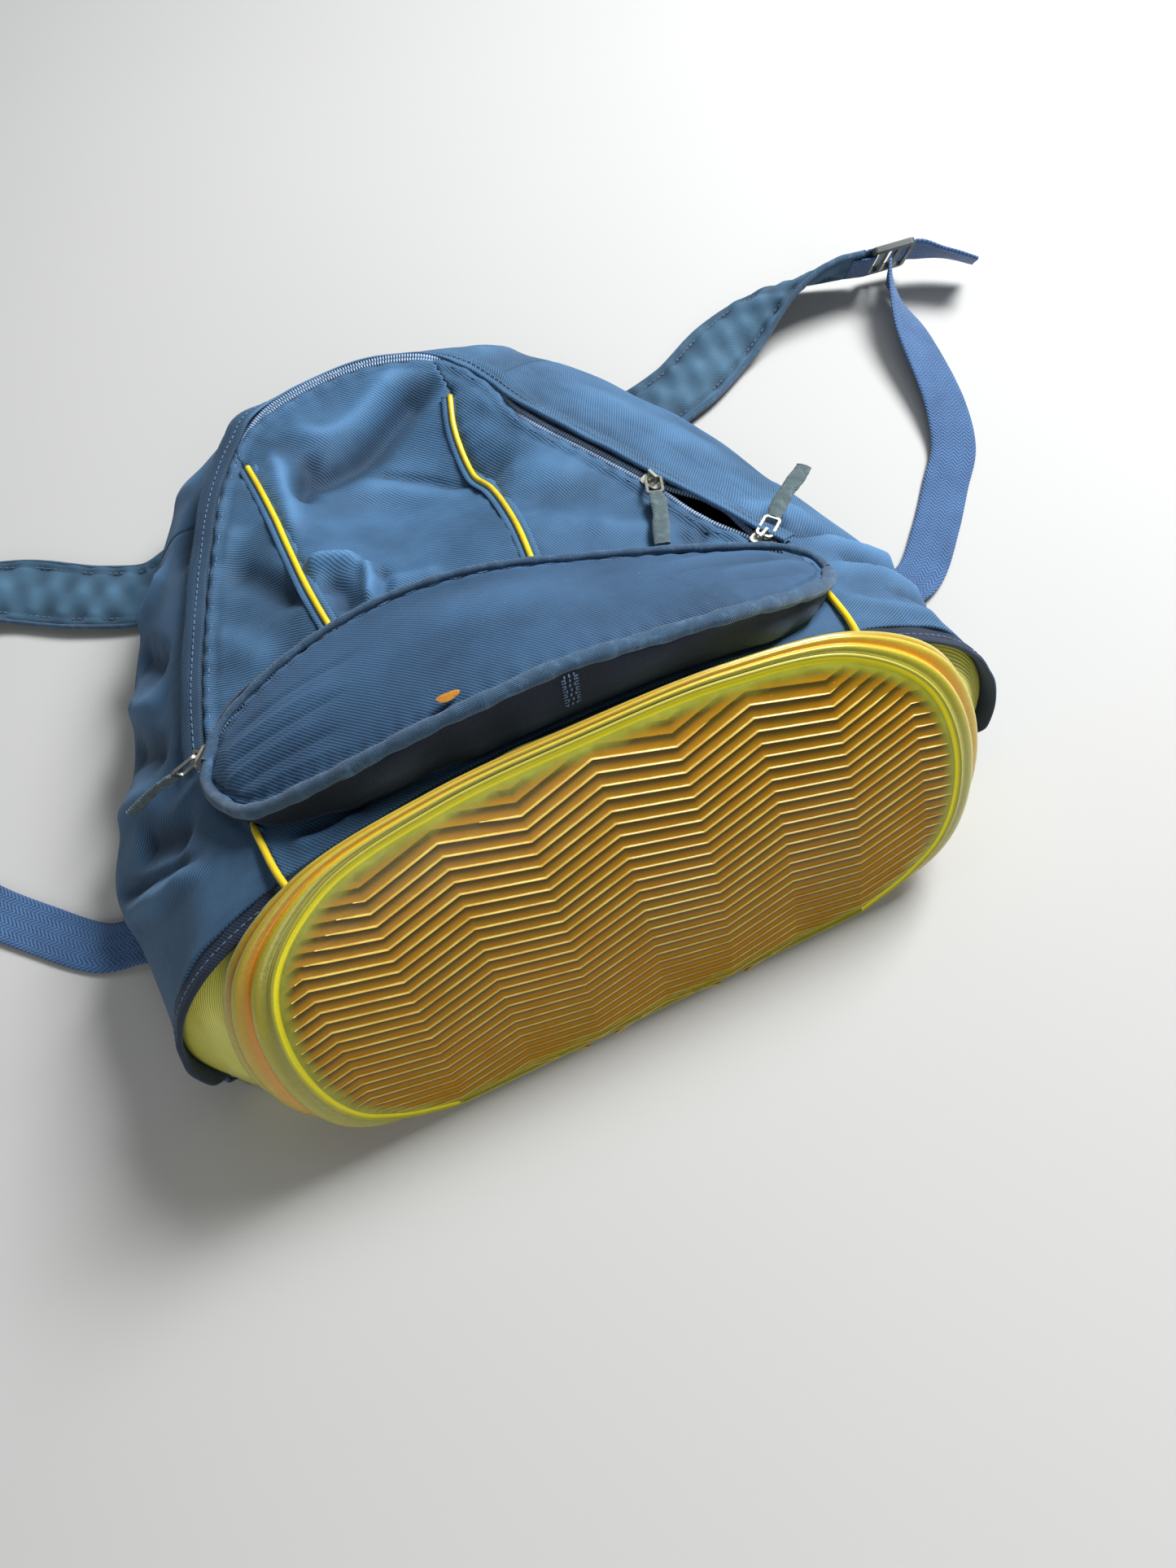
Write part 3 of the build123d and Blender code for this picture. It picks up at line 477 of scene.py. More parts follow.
def rubber_wall(name):
    """Side of the cup: pale ridges with saturated yellow and orange grooves between."""
    s = Shader(name, roughness=0.28, Coat_Weight=0.4, Coat_Roughness=0.14, Subsurface_Weight=0.15,
               Subsurface_Scale=0.004)
    weave = s.weave()
    lifted = s.math("SUBTRACT", s.mark("ring"), 0.025)
    level = s.math("MULTIPLY_ADD", s.noise(weave, 0.03, 2.0), 0.05, lifted)
    pale, olive = linear(198, 186, 66), linear(150, 148, 36)
    base = s.ramp(level, [
        (0.0, linear(150, 148, 60)), (0.07, olive), (0.17, pale), (0.27, linear(236, 206, 34)),
        (0.32, linear(240, 140, 0)), (0.37, linear(206, 150, 40)), (0.48, pale),
        (0.58, linear(232, 176, 20)), (0.64, linear(196, 122, 0)), (0.7, linear(186, 156, 50)),
        (0.81, linear(198, 194, 104)), (0.92, linear(150, 150, 34)), (0.97, linear(226, 210, 24)),
        (1.0, linear(130, 130, 30)),
    ])
    base = s.mix(s.math("MULTIPLY", s.noise(weave, 0.05, 4.0), 0.5), base, linear(150, 140, 48))
    rough = s.math("MULTIPLY_ADD", s.noise(weave, 0.1, 5.0), 0.35, 0.1)
    return s.finish(base, s.bump(s.noise(weave, 0.35, 4.0), 0.18), rough)


def rib_rubber(name):
    """Pale tops of the tread's ribs: rubbed wear and painted highlight."""
    s = Shader(name, roughness=0.3, Coat_Weight=0.3, Coat_Roughness=0.2, Subsurface_Weight=0.1,
               Subsurface_Scale=0.003)
    weave = s.weave()
    worn = s.ramp(s.noise(weave, 0.06, 4.0), [(0.3, 0.0), (0.7, 1.0)])
    # The pale cream of the rib tops stands in part for the highlight along each crest: painted highlight.
    base = s.mix(worn, linear(196, 150, 48), linear(226, 200, 104))
    return s.finish(base, s.bump(s.noise(weave, 1.2, 3.0), 0.06))


def film_band(name):
    """Yellow-green twill seen through clear film."""
    s = Shader(name, roughness=0.34, Coat_Weight=0.35, Coat_Roughness=0.22)
    weave = s.weave()
    x, y = s.split(weave)
    rib = s.sine(s.math("MULTIPLY_ADD", x, 0.35, s.math("MULTIPLY", y, 0.94)), 1.7)
    base = s.mix(s.math("MULTIPLY_ADD", rib, 0.3, 0.4), linear(190, 188, 62), linear(242, 240, 128))
    glow = s.ramp(s.noise(weave, 0.035, 3.0), [(0.35, 0.0), (0.7, 1.0)])
    base = s.mix(s.math("MULTIPLY", glow, 0.55), base, linear(248, 242, 120))
    shadow = s.ramp(s.mark("ring"), [(0.86, 0.0), (1.0, 0.7)])
    return s.finish(s.mix(shadow, base, linear(90, 92, 30)), s.bump(rib, 0.08))


def metal(name, colour):
    """Tarnished metal."""
    roughness = 0.3
    s = Shader(name, roughness=roughness, Metallic=0.9)
    place = s.place()
    tarnish = s.ramp(s.noise(place, 420, 5.0, 0.7), [(0.35, 0.0), (0.7, 1.0)])
    base = s.mix(tarnish, colour, shade(colour, 0.45))
    rough = s.math("MULTIPLY_ADD", tarnish, 0.25, roughness)
    return s.finish(base, s.bump(s.noise(place, 900, 4.0), 0.05), rough)


def plastic(name, colour, roughness=0.42, grain=1400, depth=0.04):
    """Moulded plastic, mottled and finely grained."""
    s = Shader(name, roughness=roughness, Specular_IOR_Level=0.5)
    place = s.place()
    mottled = s.noise(place, 60, 4.0)
    base = s.mix(mottled, shade(colour, 0.7), shade(colour, 1.35))
    rough = s.math("MULTIPLY_ADD", mottled, 0.2, roughness - 0.1)
    return s.finish(base, s.bump(s.noise(place, grain, 3.0), depth), rough)


RIB_PITCH = 5.47         # spacing of the tread's ribs
KINK_PITCH = 32.6        # the ribs turn at each of these columns
RIB_RISE = 4.4           # height of a zigzag over its middle line

NAVY = twill("upper_twill", linear(76, 122, 164), linear(16, 33, 52))
NAVY_POCKET = twill("pocket_twill", linear(62, 102, 140), linear(18, 36, 58), worn=0.55)
# Darker copy of the navy twill, used where the cloth sits in shade: painted shade.
NAVY_SHADE = twill("shaded_wall_twill", linear(34, 46, 66), linear(14, 18, 28), worn=0.12)
NAVY_SIDE = twill("side_twill", linear(74, 116, 154), linear(12, 26, 42), worn=0.2)
PADDED = twill("padded_twill", linear(68, 106, 132), linear(22, 40, 56), pitch=0.9, worn=0.2)
BINDING = plain_weave("binding_tape", linear(72, 108, 140), linear(18, 34, 54))
TAPE = plain_weave("zip_tape_weave", linear(30, 40, 60), linear(8, 12, 20), scale=0.8)
RIBBON = plain_weave("pull_ribbon_weave", linear(104, 126, 130), linear(44, 56, 62), scale=1.3, depth=0.2)
WEBBING = webbing_weave("blue_webbing_weave", linear(82, 128, 178), linear(32, 62, 108))
WEBBING_PALE = webbing_weave("haul_webbing_weave", linear(70, 100, 140), linear(30, 46, 74))
THREAD = plain_weave("navy_thread", linear(110, 140, 176), linear(48, 68, 98), scale=0.5, depth=0.05)
PIPING = plastic("yellow_piping_gloss", linear(226, 194, 38), roughness=0.32, grain=700, depth=0.05)
COIL = plastic("zip_coil_nylon", linear(150, 176, 206), roughness=0.3, grain=900)
NICKEL = metal("worn_nickel", linear(205, 205, 192))
DARK_PLASTIC = plastic("buckle_plastic", linear(66, 74, 72), roughness=0.4)
SCRAP = plain_weave("orange_lining", linear(220, 150, 30), linear(150, 86, 12), scale=0.7)
INSERT = plastic("insert_amber", linear(176, 110, 20), roughness=0.5)
BOARD = plastic("insert_board", linear(44, 46, 40), roughness=0.7)
FACE_RUBBER = rubber_face("tread_rubber")
WALL_RUBBER = rubber_wall("cup_rubber")
RIB_RUBBER = rib_rubber("rib_rubber")
FILM = film_band("film_over_twill")


# ---- stage ----
SKY = 0.11


def make_stage():
    size = 40.0
    mesh = bpy.data.meshes.new("floor")
    mesh.from_pydata([(-size, -size, -0.0006), (size, -size, -0.0006), (size, size, -0.0006),
                      (-size, size, -0.0006)], [], [(0, 1, 2, 3)])
    floor = bpy.data.objects.new("floor", mesh)
    bpy.context.scene.collection.objects.link(floor)
    s = Shader("floor_paper", roughness=0.9)
    tone = s.mix(s.noise(s.place(), 1.5, 3.0), (0.47, 0.47, 0.46), (0.51, 0.51, 0.5))
    far = s.put("VectorMath", {0: s.place()}, operation="LENGTH").outputs["Value"]
    far = s.ramp(s.math("DIVIDE", far, 4.0), [(0.25, 0.0), (1.0, 1.0)])
    s.main.inputs["Emission Color"].default_value = (0.9, 0.95, 1.0, 1)
    s.tree.links.new(s.math("MULTIPLY", far, SKY), s.main.inputs["Emission Strength"])
    mesh.materials.append(s.finish(s.mix(far, tone, (0.0, 0.0, 0.0))))

    world = bpy.data.worlds.new("soft_sky")
    world.use_nodes = True
    world.node_tree.nodes["Background"].inputs["Color"].default_value = (0.9, 0.95, 1.0, 1)
    world.node_tree.nodes["Background"].inputs["Strength"].default_value = SKY
    bpy.context.scene.world = world
    lamps = [("key", (1.15, 0.35, 1.35), (0, 0, 0.05), 0.7, 56, (0.98, 0.99, 1.0)),
             ("top", (0.1, 0.5, 1.7), (0, 0, 0), 1.2, 4, (0.95, 0.98, 1.0)),
             ("front", (-0.25, -1.35, 0.8), (0, -0.1, 0.08), 0.9, 7, (1.0, 0.98, 0.94))]
    for name, place, aim, width, power, colour in lamps:
        data = bpy.data.lights.new(name, "AREA")
        data.size, data.energy, data.color = width, power, colour
        lamp = bpy.data.objects.new(name, data)
        lamp.location = place
        lamp.rotation_euler = (Vector(aim) - Vector(place)).to_track_quat("-Z", "Y").to_euler()
        bpy.context.scene.collection.objects.link(lamp)
    bpy.context.scene.view_settings.view_transform = "Standard"


def make_camera():
    data = bpy.data.cameras.new("camera")
    data.lens, data.sensor_width = 27.09, 36.0
    data.clip_start, data.clip_end = 0.01, 50
    camera = bpy.data.objects.new("camera", data)
    right, up = Vector((0.904, -0.422, -0.077)).normalized(), Vector((0.401, 0.771, 0.494))
    back = right.cross(up).normalized()
    up = back.cross(right)
    turn = Matrix((right, up, back)).transposed()
    camera.matrix_world = Matrix.Translation((-0.071, -0.3625, 0.510)) @ turn.to_4x4()
    bpy.context.scene.collection.objects.link(camera)
    bpy.context.scene.camera = camera


# ---- the main zip's line ----
ZIP_Z = 85.0
BACK_Z = 12.0
ZIP_PATH = [
    (-141, 168), (-134, 200), (-125, 230), (-109, 276), (-88, 325), (-62, 359), (-30, 371),
    (10, 371), (42, 355), (57, 327), (64, 296), (84.4, 254.3), (106, 210), (133.4, 154),
]
BULGE = [
    (-209, 162), (-199, 197), (-186, 228), (-172, 280), (-146, 338), (-112, 388), (-50, 421),
    (14, 427), (76, 418), (123, 380), (149, 337), (171, 293), (190, 226), (206, 158),
]
# Outline of the sides, as shares of their reach and of their height over the back.
SIDE_SHAPE = [(0, 1), (0.25, 0.85), (0.5, 0.68), (0.75, 0.47), (0.93, 0.26), (1, 0.11), (0.97, 0)]
ZIP_LINE = smooth([(x, y, ZIP_Z) for x, y in ZIP_PATH], 640)
ZIP_RUN = lengths(ZIP_LINE)
ZIP_LENGTH = ZIP_RUN[-1]
ZIP_AHEAD = tangents(ZIP_LINE)
ZIP_OUT = np.cross(UP, ZIP_AHEAD)      # out of the bag


def beside_zip(offset, z=ZIP_Z, first=0.0, last=None):
    """Line along the zip, set off to one side; offset may change along it."""
    keep = (ZIP_RUN >= first) & (ZIP_RUN <= (last or ZIP_LENGTH))
    offset = np.broadcast_to(offset, ZIP_RUN.shape)[keep]
    line = ZIP_LINE[keep] + ZIP_OUT[keep] * offset[:, None]
    line[:, 2] = np.broadcast_to(z, ZIP_RUN.shape)[keep]
    return line


def zip_opening(widest=2.4):
    """How far a half of the zip stands back from the middle, along the zip."""
    back = ZIP_LENGTH - ZIP_RUN
    return 0.8 + widest * step(back, 16, 38) * (1 - step(back, 46, 70))


# How the cloth lies at the zip: covered on the left run, bare over the arch, covered past it, lifted
# over the sliders' stretch.
COVERED = (1 - step(ZIP_RUN, 200, 226)) + step(ZIP_RUN, 304, 332) * (1 - step(ZIP_RUN, 366, 388))
ALONG_ZIP = [0, 198, 226, 300, 330, 366, 392, 560]
WELT_EDGE = np.interp(ZIP_RUN, ALONG_ZIP, [-0.1, -0.1, 5.4, 5.4, 0.0, 0.0, 2.0, 1.6])
CLOTH_EDGE = np.interp(ZIP_RUN, ALONG_ZIP, [1.0, 1.0, 4.2, 4.2, 1.0, 1.0, 3.4, 3.4])
CLOTH_EDGE = CLOTH_EDGE + np.maximum(zip_opening() - 0.8, 0)
SINK = 2.6 * COVERED
WELT_LIFT = 2.4 * step(ZIP_RUN, 352, 376)


def fall(offset):
    """How far the zip's outer side tips down over the arch."""
    arch = step(ZIP_RUN, 202, 236) * (1 - step(ZIP_RUN, 312, 348))
    return 0.85 * arch * np.maximum(np.asarray(offset, float) - 1.0, 0)


# ---- front of the bag ----
LEFT_PIPING = [(-66, 184), (-70, 219), (-71, 262), (-71, 282), (-72, 310), (-75.5, 334)]
RIGHT_PIPING = [(25, 184), (29.5, 219), (32, 262), (29, 282), (31, 310), (38, 334)]
LOWER_ROWS = [(100, (112, 118, 121)), (120, (105, 108, 109)), (150, (93, 98, 99)), (166, (88, 97, 98))]
CENTRE_ROWS = [
    (184.5, (98, 97, 98)), (219, (101, 95, 96)), (262, (94, 79, 79)), (282, (92, 72, 72)),
    (310, (89, 75, 78)), (334, (86, 79, 84)), (348, (86, 82, 86)),
]
HEM_LINE = [(-124, 83.3, 115), (-66, 86.2, 128), (0, 87, 132), (66, 86.2, 128), (124, 83.3, 115)]
SEAM_LEFT = [(-124, 83.3, 115), (-125, 100, 112), (-127, 120, 105), (-129, 150, 93), (-130, 165, 89)]
SEAM_RIGHT = [(124, 147, 92), (124, 130, 100), (124, 115, 106.5), (124, 100, 112), (124, 83.3, 115)]


def surface_through(points, ease=0.4):
    """Smooth height over X and Y through scattered points."""
    p = np.array(points, float)
    n = len(p)

    def bend(a, b):
        r = np.linalg.norm(a[:, None, :2] - b[None, :, :2], axis=2)
        return np.where(r > 0, r * r * np.log(np.maximum(r, 1e-9)), 0)

    system = np.zeros((n + 3, n + 3))
    system[:n, :n] = bend(p, p) + np.eye(n) * ease
    system[:n, n:] = np.column_stack([np.ones(n), p[:, :2]])
    system[n:, :n] = system[:n, n:].T
    weights = np.linalg.solve(system, np.concatenate([p[:, 2], np.zeros(3)]))

    def height(xy):
        xy = np.asarray(xy, float)
        return bend(xy, p) @ weights[:n] + np.column_stack([np.ones(len(xy)), xy[:, :2]]) @ weights[n:]

    return height


def inside_outline(xy, outline):
    x, y = xy[:, 0], xy[:, 1]
    hit = np.zeros(len(xy), bool)
    for (x0, y0), (x1, y1) in zip(outline, np.roll(outline, -1, 0)):
        cross = (y0 > y) != (y1 > y)
        hit ^= cross & (x < (x1 - x0) * (y - y0) / ((y1 - y0) or 1e-12) + x0)
    return hit


def fill_outline(outline, spacing, seams=()):
    """Triangles over a flat outline, with edges along its rim and its seams."""
    low, high = outline.min(0), outline.max(0)
    rows = np.arange(low[1], high[1], spacing * 0.866)
    lattice = []
    for k, y in enumerate(rows):
        xs = np.arange(low[0] + (k % 2) * spacing / 2, high[0], spacing)
        lattice.append(np.column_stack([xs, np.full(len(xs), y)]))
    lattice = np.vstack(lattice)
    lattice = lattice[inside_outline(lattice, outline)]
    lines = [np.vstack([outline, outline[:1]])] + [np.asarray(s, float) for s in seams]
    clear = np.ones(len(lattice), bool)
    for line in lines:
        clear &= near_line(lattice, line)[0] > spacing * 0.45
    lattice = lattice[clear]
    points, edges = [outline], [(i, (i + 1) % len(outline)) for i in range(len(outline))]
    count = len(outline)
    for seam in seams:
        seam = np.asarray(seam, float)
        points.append(seam)
        edges += [(count + i, count + i + 1) for i in range(len(seam) - 1)]
        count += len(seam)
    points = np.vstack(points + [lattice])
    found = delaunay_2d_cdt([Vector(p) for p in points], edges, [], 0, 1e-5)
    xy = np.array([tuple(v) for v in found[0]])
    tri = np.array(found[2])
    keep = inside_outline(xy[tri].mean(1), outline)
    return xy, tri[keep]


def front_surface():
    hold = [(x, y, z) for x, y, z in smooth(HEM_LINE, 9)]
    hold += [tuple(p) for p in SEAM_LEFT[1:]] + [tuple(p) for p in SEAM_RIGHT[:-1]]
    hold += [tuple(p) for p in resample(beside_zip(-9, ZIP_Z + 1.2), 60)]
    hold += [tuple(p) for p in resample(beside_zip(-CLOTH_EDGE, ZIP_Z + 1.3), 60)]
    for y, (_, side, middle) in LOWER_ROWS:
        hold += [(-66, y, side), (0, y, middle), (66, y, side)]
    for y, (left, middle, right) in CENTRE_ROWS:
        left_x = np.interp(y, [p[1] for p in LEFT_PIPING], [p[0] for p in LEFT_PIPING])
        right_x = np.interp(y, [p[1] for p in RIGHT_PIPING], [p[0] for p in RIGHT_PIPING])
        if y < 340:
            hold += [(left_x, y, left), (right_x, y, right)]
        hold += [((left_x + right_x) / 2, y, middle)]
    return surface_through(hold)


# Folds of the front: a line over X and Y, height, half width.
FRONT_FOLDS = [
    ([(-52, 296), (-50, 305), (-38, 309), (-18, 317), (1, 329), (17, 337), (37, 345)], -9.0, 7.0),
    ([(-42, 328), (-45, 318), (-51, 304), (-54, 290)], -6.0, 6.0),
    ([(-48, 350), (-34, 336), (-15, 340), (5, 350), (26, 358)], 4.5, 6.5),
    ([(-60, 340), (-60, 318), (-62, 296), (-66, 262)], 4.5, 5.0),
    ([(27, 277), (16, 284), (7, 293), (-9, 303), (-22, 308)], -2.6, 2.6),
    ([(24, 268), (4, 283), (-16, 296), (-34, 296)], 3.0, 7.0),
    ([(-68, 243), (-56, 239), (-42, 233)], 6.0, 3.4),
    ([(-42, 234), (-43, 221), (-49, 204)], 5.5, 3.0),
    ([(-64, 232), (-57, 221), (-58, 204)], -6.5, 6.0),
    ([(-37, 228), (-37, 216), (-42, 203)], -3.0, 3.0),
    ([(-43, 216), (-30, 214), (-10, 212)], 2.6, 5.0),
    ([(-116, 262), (-105, 277), (-86, 292)], 3.5, 8.0),
    ([(-104, 272), (-94, 258), (-84, 240), (-75, 220)], -5.0, 8.0),
    ([(-122, 240), (-110, 224), (-98, 198)], 2.5, 9.0),
    ([(38, 268), (56, 258), (74, 240)], 2.4, 11.0),
    ([(34, 238), (60, 226), (86, 196)], -2.4, 9.0),
    ([(40, 318), (50, 300), (56, 280)], -1.8, 6.0),
    ([(60, 208), (80, 196), (96, 184)], 2.2, 8.0),
    ([(95, 188), (101, 178), (111, 181), (121, 166)], -3.0, 3.2),
    ([(104, 190), (112, 186), (120, 176)], 1.8, 3.0),
    ([(-118, 96), (-100, 92), (-84, 94)], 3.0, 4.0),
    ([(-116, 104), (-98, 98), (-80, 101)], -3.0, 3.0),
    ([(-98, 88), (-60, 92), (-20, 94)], 1.6, 3.5),
    ([(-60, 96), (-46, 92), (-34, 96)], 2.0, 3.0),
    ([(96, 92), (110, 100), (122, 112)], 1.8, 4.0),
]


def make_front():
    height = front_surface()
    arch = resample(beside_zip(-CLOTH_EDGE, 0), 230)[:, :2]
    arch = arch[3:-2][::-1]
    hem = smooth(HEM_LINE, 110)[:, :2]
    left = resample(np.array(SEAM_LEFT, float), 36)[:, :2]
    right = resample(np.array(SEAM_RIGHT, float), 28)[:, :2]
    # anticlockwise: hem left to right, up the right seam, over the arch, down the left seam
    outline = np.vstack([hem[:-1], right[::-1][:-1], arch, left[::-1][:-1]])
    left_seam = resample(np.array(LEFT_PIPING), 64)
    right_seam = resample(np.array(RIGHT_PIPING), 64)
    xy, tri = fill_outline(outline, 2.3, [left_seam, right_seam])
    points = np.column_stack([xy, height(xy)])
    out = normals_of(points, tri)
    hold = step(edge_gap(xy, outline), 0.0, 9.0)
    move = relief(points, FRONT_FOLDS) * hold
    move += ripples(points * [1, 1, 0], 46, 7, 3) * 0.8 * hold
    for seed, (seam, deep) in enumerate([(left_seam, 2.0), (right_seam, 1.8)]):
        gap = near_line(xy, seam)[0]
        move -= deep * np.exp(-(gap / 2.6) ** 2)
        move += puckers(xy, seam, 0.45, 7.0, 11.0, seed)
    zip_edge = beside_zip(-CLOTH_EDGE, 0)[:, :2]
    gap = near_line(xy, zip_edge[::4])[0]
    move += puckers(xy, zip_edge[::4], 0.55, 6.0, 13.0, 5)
    move -= 0.9 * np.exp(-((gap - 5.5) / 1.1) ** 2) - 0.5 * np.exp(-((gap - 2.5) / 2.0) ** 2)
    # Painted light and shade: raised folds and puckers lighter, sunk folds and seam grooves darker.
    wear_and_shading = np.clip(move / 5.0, -1, 1) * 0.8
    points = points + out * move[:, None]
    left_x = np.interp(xy[:, 1], left_seam[:, 1], left_seam[:, 0])
    right_x = np.interp(xy[:, 1], right_seam[:, 1], right_seam[:, 0])
    centre = xy[tri].mean(1)
    centre_left = left_x[tri].mean(1)
    centre_right = right_x[tri].mean(1)
    behind = np.interp(centre[:, 0], [-141, -92, -26, 39, 105, 133], [155, 183, 182, 164, 144, 127])
    lower = centre[:, 1] < np.minimum(behind + 5, 184)
    at_left = ~lower & (centre[:, 0] < centre_left)
    at_right = ~lower & (centre[:, 0] > centre_right)
    groups = [("lower", lower, NAVY_POCKET, 0.0), ("left", at_left, NAVY_SIDE, 0.5),
              ("right", at_right, NAVY, -0.3), ("centre", ~(lower | at_left | at_right), NAVY, 0.1)]
    for part, chosen, material, spin in groups:
        used, part_faces = np.unique(tri[chosen], return_inverse=True)
        turn = np.array([[math.cos(spin), -math.sin(spin)], [math.sin(spin), math.cos(spin)]])
        build(f"front_{part}_cloth", points[used], part_faces.reshape(-1, 3), material,
              weave=xy[used] @ turn, marks={"wear_and_shading": wear_and_shading[used]}, replaces=[f"front_panel_{part}"],
              slot="navy_twill", thickness=1.4)

    def lay(line, lift):
        z = height(line)
        moved = relief(np.column_stack([line, z]), FRONT_FOLDS)
        moved *= step(edge_gap(line, outline), 0, 9)
        return np.column_stack([line, z + moved + lift])

    return lay


# The low pipings run down the sides of the front; x is mirrored.
LOW_PIPING = [(127.8, 117, 107.3), (127, 108, 110.6), (126, 99, 113.6), (125, 90, 116),
              (123.6, 82, 118), (122, 75, 119.6)]
FLANGE = [(1.2, 0.1), (4.6, 0.25), (4.8, -0.3), (1.0, -0.9)]      # cloth beside a piping


def make_pipings(lay):
    for side, route in (("left", LEFT_PIPING), ("right", RIGHT_PIPING)):
        flat = smooth([(route[0][0], 180)] + route[1:-1] + [(route[-1][0] * 0.97, 329)], 90)
        line = lay(flat, 0.3)
        across, up = frame_along(line, UP)
        points, faces, weave = sweep(line, across, up, circle(1.5, 12))
        build(f"piping_{side}", points, faces, PIPING, weave=weave, replaces=[f"piping_upper_{side}"],
              slot="yellow_piping")
        for sign in (-1, 1):
            shape = np.array(FLANGE) * [sign, 1]
            points, faces, weave = sweep(line - up * 0.4, across, up, shape if sign > 0 else shape[::-1])
            build(f"piping_flange_{side}_{'ab'[sign > 0]}", points, faces, NAVY, weave=weave,
                  slot="navy_twill", marks={"wear_and_shading": 0.25})
    for side, sign in (("left", -1), ("right", 1)):
        line = smooth([(sign * x, y, z) for x, y, z in LOW_PIPING], 60)
        across, up = frame_along(line, UP)
        taper = np.clip(0.5 + np.arange(60) / 12, 0, 1)
        points, faces, weave = sweep(line, across, up, circle(1.5, 12)[None] * taper[:, None, None])
        build(f"piping_low_{side}", points, faces, PIPING, weave=weave,
              replaces=[f"piping_lower_{side}"], slot="yellow_piping")


# ---- sides and top ----
def side_outline(px, py, pz, mx, my):
    rise = pz - BACK_Z
    return [(px + (mx - px) * reach, py + (my - py) * reach, BACK_Z + rise * height)
            for reach, height in SIDE_SHAPE]


def low_outlines(sign):
    hem = [(124, 115), (148, 105), (170, 92), (190, 62), (196, 38), (193, 24), (188, 12)]
    beyond = [(125.5, 109), (146, 101), (163, 92), (187, 62), (199, 36), (197, 23), (193, 12)]
    return [[(sign * x, 58 + 0.22 * z, z) for x, z in hem], [(sign * x, 111, z) for x, z in beyond]]


def gusset_table():
    rows = low_outlines(-1)
    for k in range(len(ZIP_PATH)):
        place = np.argmin(np.linalg.norm(ZIP_LINE[:, :2] - ZIP_PATH[k], axis=1))
        offset = WELT_EDGE[place] + 3.2
        edge = ZIP_LINE[place] + ZIP_OUT[place] * offset
        rows.append(side_outline(edge[0], edge[1], ZIP_Z + 1.2 - fall(offset)[place], *BULGE[k]))
    return rows + low_outlines(1)[::-1]


# Folds of the sides and top: a line in space, height, half width.
SIDE_FOLDS = [
    ([(-96, 338, 74), (-110, 326, 62), (-112, 303, 68), (-112, 282, 74)], -6.0, 8.0),
    ([(-157, 301, 35), (-137, 304, 50), (-121, 310, 60)], 5.0, 9.0),
    ([(-160, 283, 38), (-149, 256, 55), (-138, 240, 68)], -5.5, 8.0),
    ([(-174, 262, 30), (-160, 236, 50), (-144, 222, 70)], 4.0, 8.0),
    ([(-178, 230, 34), (-165, 205, 55), (-150, 188, 72)], -5.0, 8.0),
    ([(-192, 200, 25), (-176, 186, 50), (-158, 176, 72)], 3.5, 8.0),
    ([(-123, 222, 80), (-144, 191, 76), (-157, 162, 76)], -1.6, 1.8),
    ([(-188, 166, 50), (-168, 148, 74), (-152, 134, 88)], -6.5, 9.0),
    ([(-210, 164, 25), (-190, 146, 50), (-167, 129, 75), (-144, 113, 100)], -3.5, 3.0),
    ([(-205, 150, 25), (-188, 134, 50), (-165, 119, 75), (-142, 106, 100)], 4.0, 6.0),
    ([(-66, 384, 78), (-72, 402, 62), (-76, 416, 44)], -3.0, 9.0),
    ([(-100, 358, 76), (-112, 368, 60), (-120, 380, 40)], 3.0, 10.0),
    ([(20, 380, 78), (30, 400, 66), (38, 420, 44)], -3.0, 9.0),
    ([(60, 362, 80), (80, 376, 66), (96, 392, 44)], 3.0, 10.0),
    ([(74, 334, 82), (90, 282, 80), (122, 214, 80)], -1.6, 5.0),
    ([(98, 336, 64), (122, 290, 62), (158, 222, 54)], 2.6, 13.0),
    ([(150, 300, 40), (168, 262, 36), (182, 226, 34)], -2.4, 11.0),
    ([(128, 192, 84), (150, 192, 72), (178, 194, 48)], 3.2, 9.0),
    ([(138, 178, 84), (158, 172, 75), (184, 172, 56)], -4.5, 6.0),
    ([(150, 160, 80), (180, 150, 60), (201, 149, 40)], 6.0, 7.0),
    ([(158, 142, 80), (179, 131, 62), (200, 126, 40)], -6.5, 7.0),
    ([(136, 134, 98), (160, 118, 84), (188, 110, 54)], 4.5, 7.0),
    ([(150, 102, 92), (176, 101, 72), (196, 101, 45)], -2.8, 3.5),
    ([(128, 104, 110), (150, 92, 100), (176, 86, 80)], 2.2, 4.0),
]


def snapped(folds, points):
    """The same folds with their lines moved onto the nearest places of a surface."""
    moved = []
    for line, height, width in folds:
        route = smooth(line, 14)
        nearest = [points[np.argmin(((points - p) ** 2).sum(1))] for p in route]
        moved.append((nearest[::2], height, width))
    return moved


